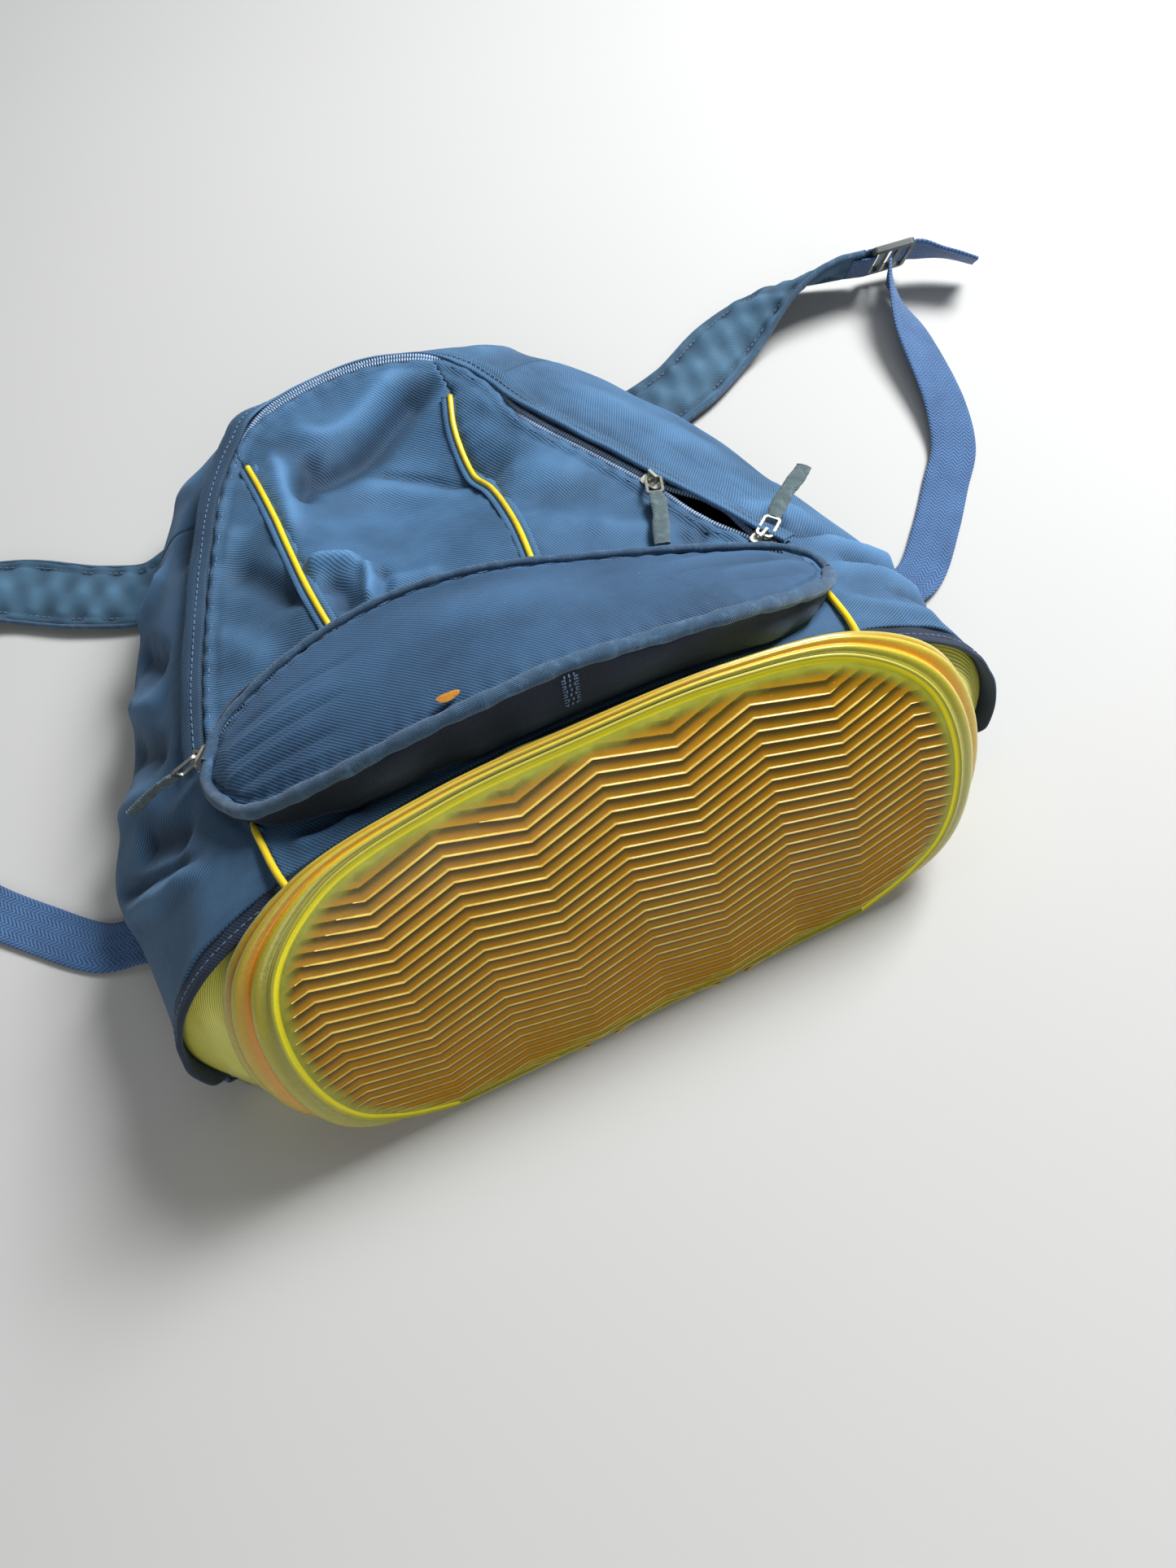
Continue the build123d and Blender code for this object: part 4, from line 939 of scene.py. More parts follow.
def make_sides():
    table = np.array(gusset_table())                       # station, row, xyz
    stations, count, rows = len(table), 420, 54
    across_rows = np.array([smooth(outline, rows) for outline in table])
    columns = np.stack([station_curve(across_rows[:, r], count) for r in range(rows)], 1)
    points = columns.reshape(-1, 3)
    faces = np.array(grid_faces(count, rows))
    out = normals_of(points, faces)
    middle = points.mean(0) * [1, 1, 0] + [0, 0, 40]
    if ((points - middle) * out).sum(1).mean() < 0:
        faces = faces[:, ::-1]
        out = -out
    run_t = np.array([lengths(columns[c]) for c in range(count)])
    middle_line = columns[:, rows // 2]
    run_s = np.repeat(lengths(middle_line)[:, None], rows, 1)
    hold = (step(run_t, 0, 9) * (1 - step(run_t, run_t[:, -1:] - 7, run_t[:, -1:]))).ravel()
    s_flat, t_flat = run_s.ravel(), run_t.ravel()
    end_hold = step(s_flat, 0, 8) * (1 - step(s_flat, run_s.max() - 8, run_s.max()))
    move = relief(points, snapped(SIDE_FOLDS, points)) * hold * end_hold
    move += ripples(points, 52, 8, 9) * 0.6 * hold * end_hold
    move += 0.5 * np.sin(s_flat / 2.1 + 1.5 * np.sin(s_flat / 9)) * np.exp(-t_flat / 6.0)
    move -= 0.9 * np.exp(-((t_flat - 5.0) / 1.1) ** 2)
    seam_at = stations_run(run_s, stations)
    for place in (seam_at[6], seam_at[11]):
        move -= 0.5 * np.exp(-((s_flat - place) / 1.4) ** 2) * step(t_flat, 4, 12)
    right = s_flat > seam_at[11]
    move -= 0.6 * np.exp(-((t_flat - 36) / 1.2) ** 2) * right * step(s_flat, seam_at[11], seam_at[11] + 20)
    # Painted light and shade: raised folds lighter, sunk folds and seam grooves darker.
    wear_and_shading = np.clip(move / 6.0, -1, 1) * 0.85
    points = points + out * move[:, None]
    weave = np.stack([s_flat, t_flat], 1)
    cuts = [("side_cloth_left", 0, seam_at[6], "side_gusset_left", NAVY_SIDE),
            ("top_cloth", seam_at[6], seam_at[11], "top_gusset", NAVY_SIDE),
            ("side_cloth_right", seam_at[11], run_s.max(), "side_gusset_right", NAVY)]
    face_run = s_flat[faces].mean(1)
    for name, low, high, node, material in cuts:
        chosen = faces[(face_run >= low) & (face_run <= high)]
        used, part_faces = np.unique(chosen, return_inverse=True)
        build(name, points[used], part_faces.reshape(-1, 4), material, weave=weave[used],
              marks={"wear_and_shading": wear_and_shading[used]}, replaces=[node], slot="navy_twill", thickness=1.4)
    return columns + (out * move[:, None]).reshape(columns.shape)


def station_curve(line, count):
    """Smooth line through stations, spaced so that each station stays at the same share of the count."""
    p = np.array(line, float)
    n = len(p)
    slopes = np.gradient(p, axis=0)
    x = np.linspace(0, n - 1, count)
    k = np.clip(x.astype(int), 0, n - 2)
    u = (x - k)[:, None]
    return ((2 * u**3 - 3 * u**2 + 1) * p[k] + (u**3 - 2 * u**2 + u) * slopes[k]
            + (3 * u**2 - 2 * u**3) * p[k + 1] + (u**3 - u**2) * slopes[k + 1])


def stations_run(run_s, stations):
    """Run along the sides at each station."""
    index = np.linspace(0, len(run_s) - 1, stations)
    return np.interp(index, np.arange(len(run_s)), run_s[:, 0])


def make_zip_ends(columns, stations):
    """Cloth between the side seam and the zip's lower ends."""
    per = (len(columns) - 1) / (stations - 1)
    spans = [("left", int(per * 1.0), int(per * 2.0), SEAM_LEFT),
             ("right", int(per * (stations - 3)), int(per * (stations - 2)), SEAM_RIGHT)]
    for side, first, last, seam in spans:
        edge = columns[first:last + 1, 0]
        inner = resample(np.array(seam, float), 200)
        inner = np.array([inner[np.argmin(np.abs(inner[:, 1] - y))] for y in edge[:, 1]])
        rows = 9
        t = np.linspace(0, 1, rows)[None, :, None]
        sheet = edge[:, None] * (1 - t) + inner[:, None] * t
        sheet[:, :, 2] += np.sin(t[..., 0] * math.pi) * 1.2 - 0.6
        points = sheet.reshape(-1, 3)
        faces = np.array(grid_faces(len(edge), rows))
        if normals_of(points, faces)[:, 2].mean() < 0:
            faces = faces[:, ::-1]
        build(f"zip_end_cloth_{side}", points, faces, NAVY_SIDE, weave=points[:, :2],
              marks={"wear_and_shading": 0.0}, replaces=[f"zip_end_{side}"], slot="navy_twill",
              thickness=1.4)


# ---- pocket ----
POCKET = [
    (-141, 146, 99, 155, 98), (-127, 119, 115, 171, 101), (-92, 105, 135, 183, 110),
    (-58, 98, 150, 186, 117), (-26, 94, 158, 182, 123), (3, 93, 160, 175, 125),
    (39, 92, 155, 164, 122), (72, 91, 150, 154, 118), (105, 97, 134, 144, 112),
    (124, 106, 121, 137, 108), (133, 118, 110, 127, 107),
]
POCKET_FOLDS = [
    ([(-136, 138), (-112, 136), (-84, 132)], 1.0, 1.4),
    ([(-134, 145), (-108, 143), (-70, 138)], -1.3, 1.6),
    ([(-132, 131), (-108, 128), (-78, 122)], -1.2, 1.5),
    ([(-130, 152), (-104, 151), (-74, 147)], 0.9, 1.6),
    ([(-126, 125), (-104, 120), (-80, 113)], 0.9, 1.5),
    ([(-128, 158), (-98, 160), (-60, 156)], -0.9, 2.0),
    ([(52, 128), (86, 130), (122, 124)], -1.5, 2.5),
    ([(60, 136), (92, 138), (120, 130)], 1.3, 3.0),
    ([(76, 118), (100, 120), (126, 118)], 1.2, 2.6),
    ([(84, 112), (104, 113), (122, 113)], -1.1, 2.2),
    ([(-40, 150), (0, 146), (40, 138)], 1.2, 14.0),
]


def pocket_rows(count):
    """Lower and upper edge of the pocket's face along its length."""
    table = np.array(POCKET, float)
    low = smooth(table[:, [0, 1, 2]], count)
    high = smooth(table[:, [0, 3, 4]], count)
    return low, high


def make_pocket(lay):
    count, rows = 190, 44
    low, high = pocket_rows(count)
    t = np.linspace(0, 1, rows)[None, :, None]
    wide = np.linalg.norm(high - low, axis=1)
    crown = np.minimum(5.5, wide / 8)
    face = low[:, None] * (1 - t) + high[:, None] * t
    face[:, :, 2] += np.sin(t[..., 0] * math.pi * 0.96) ** 0.8 * crown[:, None]
    face[:, :, 1] += (0.5 - t[..., 0]) * 1.5
    face[:, :, 0] *= 0.985
    points = face.reshape(-1, 3)
    faces = np.array(grid_faces(count, rows))
    if normals_of(points, faces)[:, 2].mean() < 0:
        faces = faces[:, ::-1]
    out = normals_of(points, faces)
    rim_gap = np.minimum(np.repeat(wide, rows) * np.tile(t.ravel(), count),
                         np.repeat(wide, rows) * (1 - np.tile(t.ravel(), count)))
    hold = step(rim_gap, 0, 5)
    move = relief(points, POCKET_FOLDS) * hold
    move += ripples(points, 60, 6, 21) * 0.5 * hold
    move += puckers(points, low[::3], 0.5, 5.0, 9.0, 2) + puckers(points, high[::3], 0.45, 5.0, 10.0, 4)
    move -= 0.8 * np.exp(-((rim_gap - 3.2) / 0.9) ** 2)
    edge_wear = 0.5 * np.exp(-(rim_gap / 2.0) ** 2)
    points = points + out * move[:, None]
    # Painted light and shade on the folds (lighter where raised, darker where sunk), plus a lighter worn rim.
    build("pocket_face_cloth", points, faces, NAVY_POCKET, weave=points[:, [0, 1]],
          marks={"wear_and_shading": np.clip(move / 2.5, -1, 1) * 0.5 + edge_wear}, replaces=["pocket_face"],
          slot="navy_twill", thickness=1.2)

    # lower wall, from the piping down to the panel behind
    foot_flat = np.column_stack([low[:, 0] * 0.97, np.maximum(low[:, 1] - 5.5, 89.5)])
    foot = lay(foot_flat, 0.4)
    edge = low + [0, -2.0, -3.0]
    edge[:, 0] *= 0.985
    rows = 22
    t = np.linspace(0, 1, rows)[None, :, None]
    wall = edge[:, None] * (1 - t) + foot[:, None] * t
    bulge = np.sin(t[..., 0] * math.pi)
    wall[:, :, 1] -= 2.6 * bulge
    points = wall.reshape(-1, 3)
    faces = np.array(grid_faces(count, rows))
    if normals_of(points, faces)[:, 1].mean() > 0:
        faces = faces[:, ::-1]
    out = normals_of(points, faces)
    run = np.repeat(lengths(low), rows)
    level = np.tile(t.ravel(), count)
    hold = np.sin(level * math.pi) ** 0.6
    move = (np.sin(run / 6.5 + 2.2 * np.sin(run / 23)) * 0.9 + np.sin(run / 15 + level * 4) * 1.1) * hold
    move *= 0.35 + 0.65 * step(np.abs(points[:, 0] - 3), 4, 40)
    points = points + out * move[:, None]
    # Painted light and shade on its wrinkles: crests lighter, hollows darker.
    build("pocket_wall_low", points, faces, NAVY_SHADE, weave=np.stack([run, level * 30], 1),
          marks={"wear_and_shading": np.clip(move / 3.0, -1, 1)}, replaces=["pocket_gusset_lower"], slot="navy_twill",
          thickness=1.2)

    # upper wall, from the face's upper edge down to the panel behind, with the pocket's zip in it
    base_flat = np.column_stack([high[:, 0] * 0.985, np.minimum(high[:, 1] + 3.0, 185)])
    base = lay(base_flat, 0.4)
    top = high + [0, 1.0, -2.0]
    top[:, 0] *= 0.985
    rows = 14
    t = np.linspace(0, 1, rows)[None, :, None]
    wall = top[:, None] * (1 - t) + base[:, None] * t
    points = wall.reshape(-1, 3)
    faces = np.array(grid_faces(count, rows))
    if normals_of(points, faces)[:, 1].mean() < 0:
        faces = faces[:, ::-1]
    build("pocket_wall_high", points, faces, NAVY_SHADE, weave=points[:, [0, 2]],
          marks={"wear_and_shading": 0.0}, replaces=["pocket_gusset_upper"], slot="navy_twill",
          thickness=1.0)
    return low, high


def make_pocket_trim(low, high):
    loop = low + [0, -1.6, 0.4]
    turn = [(-140.5, 150.5, 98.6), (-137.5, 158.5, 99.4), (-130, 168.5, 101.8)]
    line = smooth(np.vstack([loop[::-6], turn]), 300)
    across, up = frame_along(line, UP)
    around = np.linspace(0, 2 * math.pi, 15)[:-1]
    run = lengths(line)
    swell = 1 + 0.07 * np.sin(run / 4.1) + 0.05 * np.sin(run / 1.9)
    taper = 0.55 + 0.45 * (1 - step(run, run[-1] - 30, run[-1]))
    radius = 3.1 * swell * taper
    profile = np.stack([np.cos(around)[None] * radius[:, None], np.sin(around)[None] * radius[:, None]], 2)
    points, faces, weave = sweep(line, across, up, profile)
    build("pocket_piping_front", points, faces, BINDING, weave=weave, replaces=["pocket_piping_lower"],
          slot="navy_twill")
    back = high[::-1] + [0, 0.8, 2.0]
    line = smooth(np.vstack([[low[-1] + [0.6, 0.6, 0.8]], back[::6]]), 260)
    across, up = frame_along(line, UP)
    swell = 1 + 0.1 * np.sin(lengths(line) / 2.3)
    profile = circle(1.75, 10)[None] * swell[:, None, None]
    points, faces, weave = sweep(line, across, up, profile)
    build("pocket_piping_back", points, faces, BINDING, weave=weave, replaces=["pocket_piping_upper"],
          slot="navy_twill")

    # scrap of orange lining showing through a worn hole beside the piping
    k = np.argmin(np.abs(low[:, 0] + 40))
    spot = low[k] + [0, 5.2, 2.6]
    n = 16
    around = np.arange(n) * 2 * math.pi / n
    wide = 4.6 + 0.7 * np.sin(around * 3 + 1)
    rim = np.stack([np.cos(around) * wide, np.sin(around) * wide * 0.42, 0.35 * np.sin(around * 2)], 1)
    points = np.vstack([spot + rim, spot + rim * 0.55 + [0, 0, 0.7], [spot + [0, 0, 0.85]]])
    faces = [[i, (i + 1) % n, n + (i + 1) % n, n + i] for i in range(n)]
    faces += [[n + i, n + (i + 1) % n, 2 * n] for i in range(n)]
    build("pocket_scrap", points, faces, SCRAP, slot="navy_twill")

    # bar of stitches where the piping's ends meet
    heap = Heap()
    k = np.argmin(np.abs(low[:, 0] - 3))
    centre = low[k]
    for side in (-1.9, 0.0, 1.9):
        line = np.array([centre + [side, -5.6, -1.5 - t] + np.array([0.3 * math.sin(t), -0.35 * t * 0.1, 0])
                         for t in np.linspace(0, 17, 24)])
        stitches(heap, line, np.array([0, -1.0, 0.1]), gap=2.3, size=1.7, thick=0.7)
    for level in np.linspace(1, 17, 10):
        line = np.array([centre + [x, -6.0, -1.5 - level] for x in np.linspace(-2.6, 2.6, 6)])
        stitches(heap, line, np.array([0, -1.0, 0.1]), gap=2.0, size=1.6, thick=0.6)
    heap.piece("pocket_bar_stitches", THREAD, replaces=["pocket_bartack"], slot="navy_twill")


def make_pocket_zip():
    """Zip in the pocket's upper wall, and its straight end on the left."""
    start, end = np.array([-142.0, 157.0]), np.array([-121.0, 181.0])
    ahead = unit(end - start)
    out = np.array([-ahead[1], ahead[0]])
    route = [(*start, 96.5, *out), (*end, 96.5, *out)]
    _, high = pocket_rows(60)
    for k in range(12, 58, 3):
        x, y, z = high[k]
        route.append((x * 0.98, min(y + 5.5, 188), (z + 96) / 2 + 1, 0, 1))
    route = np.array(route)
    line = smooth(route[:, :3], 280)
    outs = unit(np.column_stack([np.interp(np.linspace(0, 1, 280), np.linspace(0, 1, len(route)), route[:, i])
                                 for i in (3, 4)] + [np.zeros(280)]))
    heap = Heap()
    for sign in (-1, 1):
        strip = np.array([(2.6, -0.5), (5.2, -0.5), (5.2, 0.4), (2.6, 0.4)]) * [sign, 1]
        points, faces, weave = sweep(line, np.tile(UP, (280, 1)), outs, strip)
        heap.add(points, faces, weave)
    heap.piece("pocket_zip_tape", TAPE, replaces=["pocket_zip_tapes"], slot="zip_tape")
    heap = Heap()
    for sign in (-1, 1):
        places = resample(line + UP * sign * 1.5, 170)
        ahead = tangents(places)
        shift = ahead * (0.38 * sign)
        outs_even = unit(resample(np.column_stack([line, outs]), 170)[:, 3:])
        place_beads(heap, bead(1.0, 3.0, 2.0), places + shift, ahead,
                    np.cross(outs_even, ahead), outs_even)
    heap.piece("pocket_zip_teeth", COIL, replaces=["pocket_zip_coils"], slot="zip_coil")


# ---- main zip ----
def make_main_zip(lay):
    sink = [0, 0, 1] * SINK[:, None]
    for sign, side in ((1, "outer"), (-1, "inner")):
        rows = 7
        opening = zip_opening(4.7 if sign > 0 else 2.4)
        offsets = (opening + 1.8)[:, None] + 5.4 * np.linspace(0, 1, rows)
        sheet = ZIP_LINE[:, None] - sink[:, None] + ZIP_OUT[:, None] * (sign * offsets)[..., None]
        sheet[:, :, 2] += 0.5 * np.sin(np.linspace(0, math.pi, rows)) - 0.4
        if sign > 0:
            sheet[:, :, 2] -= np.stack([fall(offsets[:, k]) for k in range(rows)], 1)
        points = sheet.reshape(-1, 3)
        faces = np.array(grid_faces(len(ZIP_LINE), rows))
        if normals_of(points, faces)[:, 2].mean() < 0:
            faces = faces[:, ::-1]
        weave = np.stack([np.repeat(ZIP_RUN, rows), offsets.ravel()], 1)
        build(f"zip_tape_{side}", points, faces, TAPE, weave=weave,
              replaces=[f"main_zip_tape_{side}"], slot="zip_tape", thickness=0.9)
        heap = Heap()
        row = ZIP_LINE - sink + ZIP_OUT * (sign * (opening + 0.75))[:, None]
        row = resample(row, int(ZIP_LENGTH / 1.45))
        ahead = tangents(row)
        across = unit(np.cross(UP, ahead))
        place_beads(heap, bead(0.95, 3.2, 2.5), row + ahead * (0.36 * sign), ahead, across,
                    np.tile(UP, (len(row), 1)))
        heap.piece(f"zip_teeth_{side}", COIL, replaces=[f"main_zip_coil_{side}"], slot="zip_coil")

    # the welt over the outer half: rolled edge, lifted clear of the sliders; the edge painted lighter (wear
    # and painted light), its covered left run painted darker as shade
    wave = 0.25 * np.sin(ZIP_RUN / 5.3 + np.sin(ZIP_RUN / 17)) + 0.25 * np.sin(ZIP_RUN / 19)
    rows = [(0, 0.2, 1), (0.4, 1.3, 1), (1.5, 1.7, 1), (3.0, 1.3, 0.9), (5.5, 1.1, 0.5), (9.3, 0.2, 0),
            (9.3, -0.5, 0), (5.5, 0.1, 0.5), (1.2, -0.5, 1)]
    profile = np.array([(x, z) for x, z, _ in rows])[None] * np.ones((len(ZIP_RUN), 1, 1))
    profile[:, :, 0] += (WELT_EDGE + 0.3 * np.sin(ZIP_RUN / 7.7))[:, None]
    for k, (_, _, share) in enumerate(rows):
        profile[:, k, 1] += (WELT_LIFT + wave - 1.5 * COVERED) * share - fall(profile[:, k, 0])
    points, faces, weave = sweep(ZIP_LINE + [0, 0, 1.7], ZIP_OUT, np.tile(UP, (len(ZIP_RUN), 1)), profile)
    # Painted light and shade: the rolled edge lighter, the whole covered left run darkened as shade.
    hidden = 1 - step(ZIP_RUN, 198, 226)
    wear_and_shading = np.array([0.9, 0.9, 0.5, 0.1, 0, 0, 0, 0, 0])[None] * (1 - hidden)[:, None] - 0.8 * hidden[:, None]
    wear_and_shading = wear_and_shading.ravel()
    build("zip_welt", points, faces, NAVY_SIDE, weave=weave, marks={"wear_and_shading": wear_and_shading}, replaces=["zip_flap"],
          slot="navy_twill")
    heap = Heap()
    seam = ZIP_LINE + ZIP_OUT * (WELT_EDGE + 4.2)[:, None]
    seam[:, 2] = ZIP_Z + 2.95 + (WELT_LIFT + wave - 0.8 * COVERED) * 0.7 - fall(WELT_EDGE + 4.2)
    stitches(heap, seam[4:-4], UP)
    stitches(heap, lay(beside_zip(-CLOTH_EDGE - 2.6, 0)[8:-8, :2], 0.15)[::3], UP)
    heap.piece("zip_stitches", THREAD, slot="navy_twill")
    heap = Heap()
    for place in (8, -8):
        for sign in (1, -1):
            spot = ZIP_LINE[place] + ZIP_OUT[place] * sign * 2.1 + [0, 0, 1.3 - SINK[place]]
            place_beads(heap, bead(3.0, 2.6, 1.2), [spot], [ZIP_AHEAD[place]], [ZIP_OUT[place]], [UP])
    heap.piece("zip_stops", NICKEL, replaces=["main_zip_stops"], slot="nickel")


# ---- rubber base ----
RIM_POINTS = [(100, -78), (150, -52), (165, -8), (156, 35), (120, 64), (62, 76)]
HEM_POINTS = [(183, 10), (193, 42), (185, 70), (164, 93), (120, 114), (62, 126)]
RIM_TOP, HEM_TOP = 78, 130
TREAD_SAG = 15.0
DRUM = (RIM_TOP**2 + TREAD_SAG**2) / (2 * TREAD_SAG)
RIM_MIDDLE = np.array([0, 44, 70.5])
RIM_UP = unit([0, 68, 141])
RIM_OUT = unit([0, -141, 68])


def ring(points, top, count, foot):
    right = [(x, y, 0) for x, y in points]
    left = [(-x, y, 0) for x, y in points][::-1]
    curve = smooth(right + [(0, top, 0)] + left, count)
    line = np.linspace(curve[-1], curve[0], foot + 2)[1:-1]
    return np.vstack([curve, line])[:, :2]


def on_rim(xv, w):
    xv = np.asarray(xv, float)
    w = np.broadcast_to(w, len(xv))
    return RIM_MIDDLE + xv[:, :1] * [1, 0, 0] + xv[:, 1:2] * RIM_UP + w[:, None] * RIM_OUT


def drum_height(v):
    return np.sqrt(np.maximum(DRUM**2 - np.clip(v, -RIM_TOP, RIM_TOP)**2, 0)) - (DRUM - TREAD_SAG)


def lip_outline(rim):
    """The tread's edge: well inside the rim at the sides, close to it at the top, on it at the foot."""
    up = np.clip(rim[:, 1] / RIM_TOP, 0, 1)
    low = step(rim[:, 1], -RIM_TOP, -58)
    inset = np.clip(np.abs(rim[:, 0]) / 165, 0, 1) ** 2 * 15 * low
    return np.column_stack([rim[:, 0] - np.sign(rim[:, 0]) * inset, rim[:, 1] - 4.0 * up**2])


def make_cup():
    curve_n, foot_n = 300, 60
    rim = ring(RIM_POINTS, RIM_TOP, curve_n, foot_n)
    hem = ring([(x, z) for x, z in HEM_POINTS], HEM_TOP, curve_n, foot_n)
    hem = np.column_stack([hem[:, 0], 58 + 0.22 * hem[:, 1], hem[:, 1]])
    lip_flat = lip_outline(rim)
    lip = on_rim(lip_flat, drum_height(lip_flat[:, 1]))
    root = on_rim(rim, 0)
    drop = (hem[:, 1] - root[:, 1]) - 0.34 * (hem[:, 2] - root[:, 2])
    slope = (32 + 0.34 * root[:, 2] - root[:, 1]) / drop
    middle = root + (hem - root) * np.clip(slope, 0.15, 0.6)[:, None]

    # cup wall: lip, rim plane, middle; ridges stand out along the wall's own normals
    rows = 64
    q = np.linspace(0, 1, rows)
    lip_share = np.linalg.norm(root - lip, axis=1)
    rest_share = np.linalg.norm(middle - root, axis=1)
    knee = lip_share / (lip_share + rest_share)
    wall = np.empty((len(rim), rows, 3))
    for k in range(len(rim)):
        corner = np.interp(q, [0, max(knee[k], 1e-3), 1], [0, 1, 2])
        for i in range(3):
            wall[k, :, i] = np.interp(corner, [0, 1, 2], [lip[k, i], root[k, i], middle[k, i]])
    soft = wall.copy()
    for _ in range(40):
        soft[:, 1:-1] = (soft[:, :-2] + 2 * soft[:, 1:-1] + soft[:, 2:]) / 4
    wall = soft
    points = wall.reshape(-1, 3)
    faces = np.array(grid_faces(len(rim), rows, wrap_rows=True))
    out = normals_of(points, faces)
    if ((points - [0, 60, 60]) * out).sum(1).mean() < 0:
        faces, out = faces[:, ::-1], -out
    level = np.tile(q, len(rim))
    size = np.repeat(np.clip((lip_share + rest_share) / 34, 0.12, 1), rows)
    foot = np.repeat(step(rim[:, 1], -77, -66), rows)
    wave = 0.5 - 0.5 * np.cos(2 * math.pi * 3.0 * np.clip(level * 1.04, 0, 1))
    move = (3.4 * wave**0.7 - 0.6) * size * (0.25 + 0.75 * foot)
    move = move * step(level, 0, 0.06) * (1 - step(level, 0.95, 1))
    move -= 1.2 * (1 - foot) * size * 0.3
    points = points + out * move[:, None]
    points[:, 2] = np.maximum(points[:, 2], 0.25)
    run = np.repeat(lengths(lip), rows)
    build("cup_wall", points, faces, WALL_RUBBER, weave=np.stack([run, level * 28], 1),
          marks={"ring": level}, replaces=["base_cup"], slot="amber_rubber", thickness=2.6)

    # tread face on its drum, rounded into the lip
    outline = lip_flat * [0.9985, 0.9975]
    inward = tangents(outline, True)[:, ::-1] * [-1, 1]
    inward *= np.sign((inward * -outline).sum(1).mean())
    rings = [np.vstack([r, r[:1]]) for r in (outline[::2] + inward[::2] * d for d in (1.1, 2.3, 3.6))]
    xv, tri = fill_outline(outline[::2], 2.4, rings)
    gap = edge_gap(xv, outline)
    height = drum_height(xv[:, 1])
    height = height - 1.3 * np.exp(-((gap - 2.6) / 0.8) ** 2) + 0.7 * np.exp(-((gap - 0.9) / 0.9) ** 2)
    row = np.mod((xv[:, 1] - zigzag(xv[:, 0])) / RIB_PITCH, 1.0)
    height -= 0.5 * step(gap, 5, 9) * np.sin(row * math.pi) ** 2
    points = on_rim(xv, height)
    faces = tri
    if (normals_of(points, faces) @ RIM_OUT).mean() < 0:
        faces = faces[:, ::-1]
    build("tread_face", points, faces, FACE_RUBBER, weave=xv, marks={"inset": gap},
          slot="amber_rubber", thickness=3.0)

    # band of twill under film, from the cup to the hem
    rows = 20
    t = np.linspace(0, 1, rows)[None, :, None]
    sole = hem - [0, 0, 1] * (8.5 * (1 - step(hem[:, 2], 10, 46)))[:, None]
    band = middle[:, None] * (1 - t) + sole[:, None] * t
    points = band.reshape(-1, 3)
    faces = np.array(grid_faces(len(rim), rows, wrap_rows=True))
    out = normals_of(points, faces)
    if ((points - [0, 60, 60]) * out).sum(1).mean() < 0:
        faces, out = faces[:, ::-1], -out
    level = np.tile(t.ravel(), len(rim))
    tall = np.repeat(np.linalg.norm(hem - middle, axis=1), rows)
    move = 1.0 * np.sin(level * math.pi) * step(tall, 8, 30) - 0.5
    move += ripples(points, 34, 6, 31) * 0.5 * np.sin(level * math.pi)
    points = points + out * move[:, None]
    points[:, 2] = np.maximum(points[:, 2], 0.4)
    weave = np.stack([np.repeat(lengths(hem), rows), level * tall], 1)
    build("film_band", points, faces, FILM, weave=weave,
          marks={"ring": level}, replaces=["base_band"], slot="yellow_band", thickness=1.6)

    # bound hem
    centre = hem + [0, -2.5, 0]
    centre_out = unit(hem - hem.mean(0)) * [1, 0, 1]
    ahead = tangents(centre, True)
    out = unit(np.cross(ahead, [0, 1, 0.22]))
    if (out * centre_out).sum() < 0:
        out = -out
    depth = np.tile(unit([0, -1, 0.22]), (len(centre), 1))
    run = lengths(centre)
    swell = 1 + 0.12 * np.sin(run / 3.3 + np.sin(run / 11))
    profile = np.array([(-5.4, 0.0), (-5.0, 1.2), (-3.0, 1.7), (0, 1.4), (4, 1.9), (6.4, 1.6), (7.2, 0.4),
                        (6.4, -0.6), (-5.0, -0.7)])[None] * np.ones((len(centre), 1, 1))
    profile[:, 1:6, 1] *= swell[:, None]
    under = 1 - step(centre[:, 2], 12, 30)
    profile = profile * (1 - 0.8 * under)[:, None, None]
    profile[:, :, 0] -= (6.0 * under)[:, None]
    profile[:, :, 1] -= (2.0 * under)[:, None]
    points, faces, weave = sweep(centre + out * 0.2, depth, out, profile[:, ::-1], loop=True)
    points[:, 2] = np.maximum(points[:, 2], 6.0)
    edge = (weave[:, 1] > 5.5) * 0.6
    build("hem_band", points, faces, NAVY_SHADE, weave=weave, marks={"wear_and_shading": edge},
          replaces=["hem_binding"], slot="navy_twill")
    heap = Heap()
    stitch_line = centre[10:curve_n - 10] + out[10:curve_n - 10] * 2.1 + depth[10:curve_n - 10] * 2.0
    stitches(heap, stitch_line, out[10:curve_n - 10])
    heap.piece("hem_stitches", THREAD, slot="navy_twill")


# A rib's cross-section in millimetres: up the tread, and out of it.
RIB_SHAPE = [(-0.45, -0.6), (-0.3, 0.1), (-0.11, 0.75), (0.11, 0.75), (0.32, 0.1), (0.46, -0.6)]


def zigzag(x):
    """How far a rib rises or falls at this distance from the middle."""
    column = np.abs(x) / KINK_PITCH
    fold = np.abs(np.mod(column + 1, 2) - 1)
    return RIB_RISE - 2 * RIB_RISE * fold


